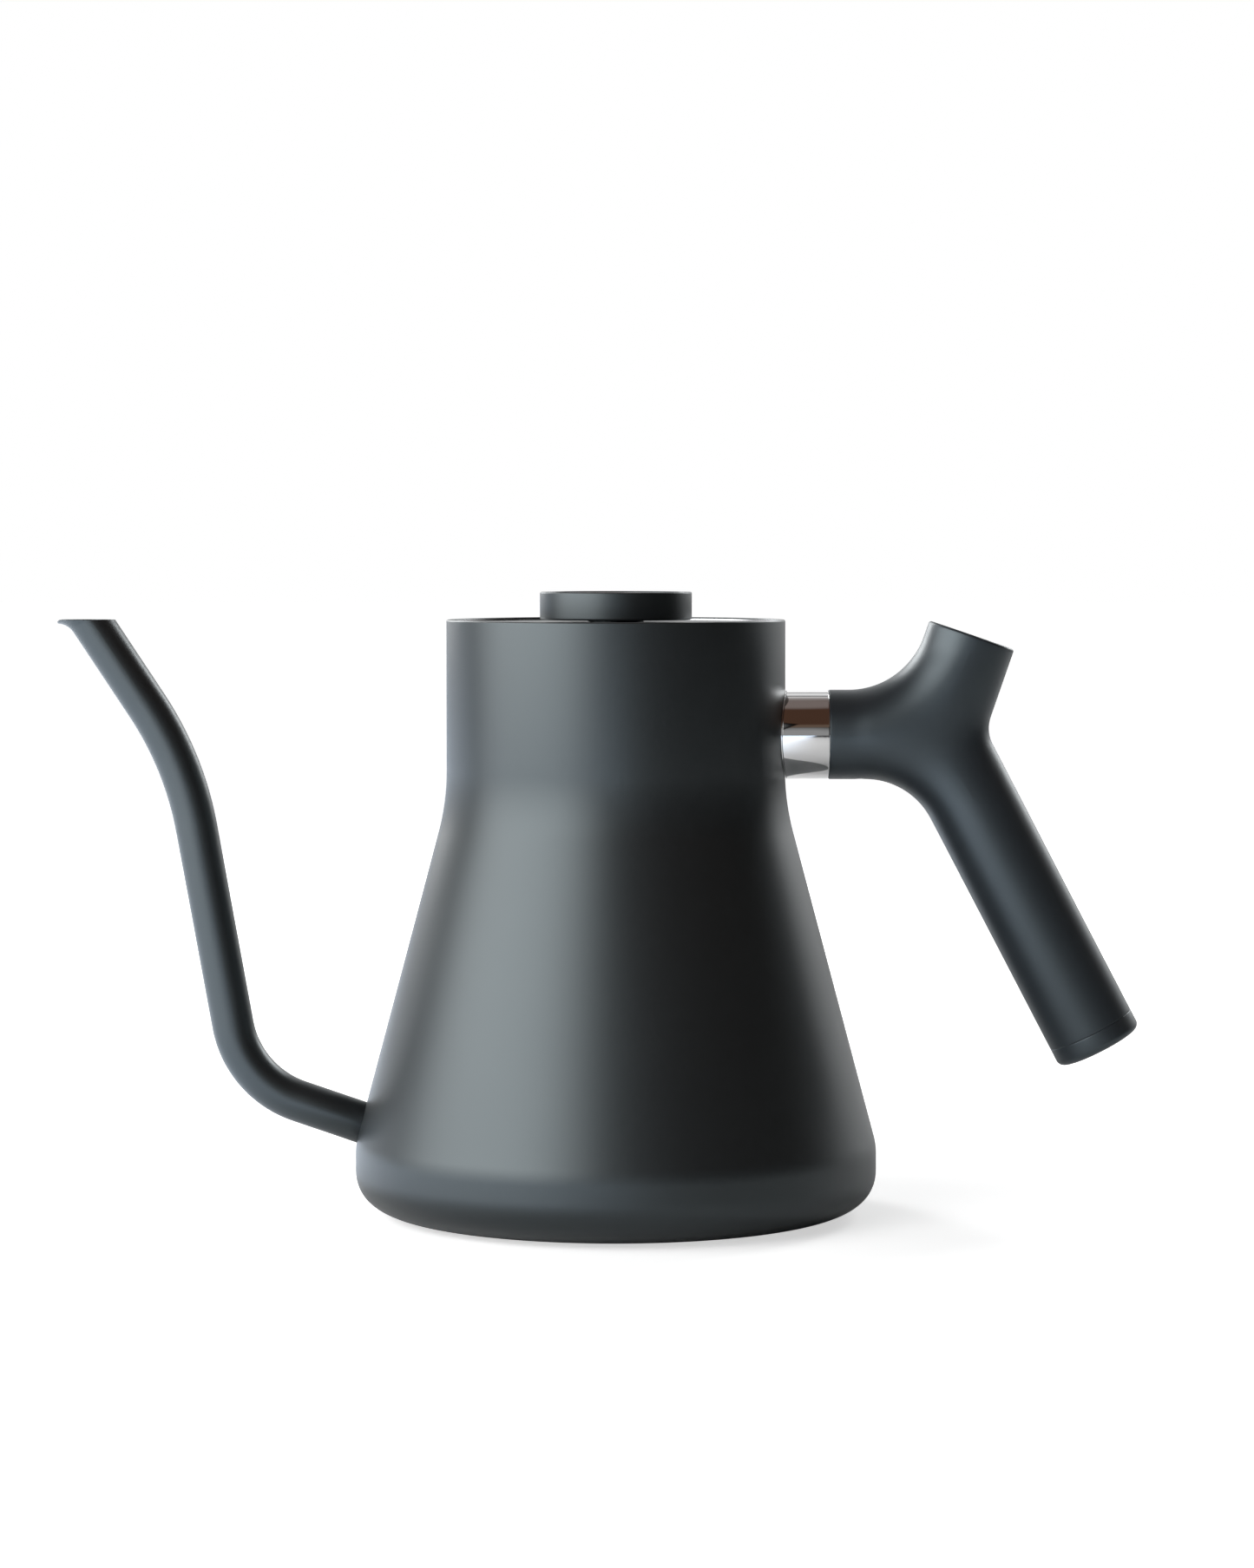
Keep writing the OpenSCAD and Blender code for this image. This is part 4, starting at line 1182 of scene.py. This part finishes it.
# %% [markdown]
# ### The pointer
# A blade pressed from thin sheet, with a fold along its middle that keeps it straight and
# catches the light, on a small turned hub. It rests on the cold stop.

# %% Pointer
POINTER_Z, TIP, TAIL = DIAL_Z + 1, 15.0, 6.0
bm = bmesh.new()
skin(bm, [[(s, y, POINTER_Z + z) for y, z in ((-half, 0), (half, 0), (half, 0.2), (0, 0.4), (-half, 0.2))]
          for s, half in ((-TAIL, 1.1), (-TAIL + 0.6, 1.1), (0, 0.85), (TIP - 0.8, 0.3), (TIP, 0.06))])
hub_points = ([(0.5, POINTER_Z - 0.2), (2.2, POINTER_Z - 0.2), (2.2, POINTER_Z + 0.45)]
              + arc((1.95, POINTER_Z + 0.45), 0.25, 0, 90, 5) + [(0.5, POINTER_Z + 0.7)])
hub = turned_part("pointer_hub", hub_points, 64, "signal_paint")
bm.from_mesh(hub.data)
bm.to_mesh(hub.data)
bm.free()
hub.name = "pointer_blade"
hub.data.transform(Matrix.Rotation(math.radians(COLD_ANGLE), 4, "Z"))
tidy_mesh(hub, 25)
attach(hub, "pointer")
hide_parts("pointer")

# %% [markdown]
# ## The underside
# The foot ring is what the kettle stands on, a soft ring pressed into the cover's groove.
# It is turned, as the moulding's own tool was.

# %% Foot ring
RING_IN, RING_OUT = 43.9, 47.1
foot_points = (arc((RING_OUT - 0.5, 0.5), 0.5, -90, 0, 6) + arc((RING_OUT - 0.2, 1.4), 0.2, 0, 90, 3)
               + arc((RING_IN + 0.2, 1.4), 0.2, 90, 180, 3) + arc((RING_IN + 0.5, 0.5), 0.5, 180, 270, 6))
foot = turned_part("foot_ring_moulding", foot_points, 200, "silicone")
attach(foot, "kettle")
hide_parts("foot_ring")

# %% [markdown]
# ### Cover screws
# Three sunk screws hold the cover. One screw is modelled with its hexagon socket, as rings of
# points that go from six sides to round, and a small tree repeats it at the three places. Three
# copies made in a loop would do too, but the tree keeps their number and place in one spot.

# %% One screw
SCREW_RING, SCREW_COUNT, FIRST_SCREW, HEAD_LOW, SIDES = 31.0, 3, 60, 0.9, 36


def hex_ring(r, z, hexagon):
    """A ring of points; hexagon pulls it from a circle towards six sides."""
    points = []
    for i in range(SIDES):
        a = 2 * math.pi * i / SIDES
        within = (a + math.pi / 6) % (math.pi / 3) - math.pi / 6
        flat = r * math.cos(math.pi / 6) / math.cos(within)
        q = r + (flat - r) * hexagon
        points.append((q * math.cos(a), q * math.sin(a), HEAD_LOW + z))
    return points


bm = bmesh.new()
skin(bm, [hex_ring(*row) for row in (
    (1.2, 0.9, 1), (1.2, 0, 1), (2.6, 0, 0), (2.9, 0.25, 0), (2.9, 1.2, 0), (1.2, 1.2, 0), (1.2, 9.2, 0),
    (0.9, 9.4, 0))])
one_screw = tidy_mesh(built("one_screw", bm, "fine_steel"), 35)

# %% Screw ring tree
screw_tree, gin = geometry_tree("repeat_on_ring", [
    ("Count", "Int", 3), ("Radius", "Float", 0.031), ("Start", "Float", 0.0)])
t = screw_tree
dots = node(t, "GeometryNodeMeshCircle", {"Vertices": gin["Count"], "Radius": gin["Radius"]})
about = node(t, "ShaderNodeCombineXYZ", {"Z": gin["Start"]})
turned = node(t, "GeometryNodeTransform", {"Geometry": dots.outputs[0], "Rotation": about.outputs[0]})
on_dots = node(t, "GeometryNodeInstanceOnPoints", {"Points": turned.outputs[0], "Instance": gin["Geometry"]})
end_tree(t, on_dots.outputs[0], gin)

# %% Cover screws
screws = run_tree(one_screw, screw_tree, "base_screws", Count=SCREW_COUNT, Radius=SCREW_RING * MM,
                  Start=math.radians(FIRST_SCREW), Finish=FINISH["fine_steel"])
tidy_mesh(screws, 35)
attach(screws, "kettle")
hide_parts("cover_screws")

# %% [markdown]
# ## Finishes for the remaining parts
# The parts that keep their first shape are simple ones, mostly inside: floor, heater,
# connector, lid cup and gasket. Each gets the finish of what it is made of.

# %% Give out the finishes
FINISH_OF = {
    "spun_steel": ("mouth_ring", "vessel_floor", "lid_cup"),
    "fine_steel": ("handle_spigot", "handle_set_screw", "stem_nut", "probe_tube", "probe_plug", "spindle",
                   "cover_posts", "counterweight"),
    "powder_coat": ("lid_plate",),
    "silicone": ("lid_gasket", "bottom_seal", "counterweight_pad", "end_cap_seal", "stem_washer"),
    "base_moulding": ("bottom_cover", "connector_body", "dial_spacer"),
    "dial_enamel": ("dial_face",),
    "brass": ("connector_contacts", "spindle_bush", "water_sensor"),
    "alloy": ("heat_spreader",),
    "element_sheath": ("heating_element",),
    "insulator": ("control_block", "thermal_cutout"),
    "ceramic": ("element_pins",),
    "bimetal": ("bimetal_coil",),
}
for finish_name, part_names in FINISH_OF.items():
    for part_name in part_names:
        for slot in nodes[part_name].material_slots:
            slot.material = FINISH[finish_name]
left = set(nodes) - {n for names in FINISH_OF.values() for n in names}
print("replaced by new pieces:", sorted(left))
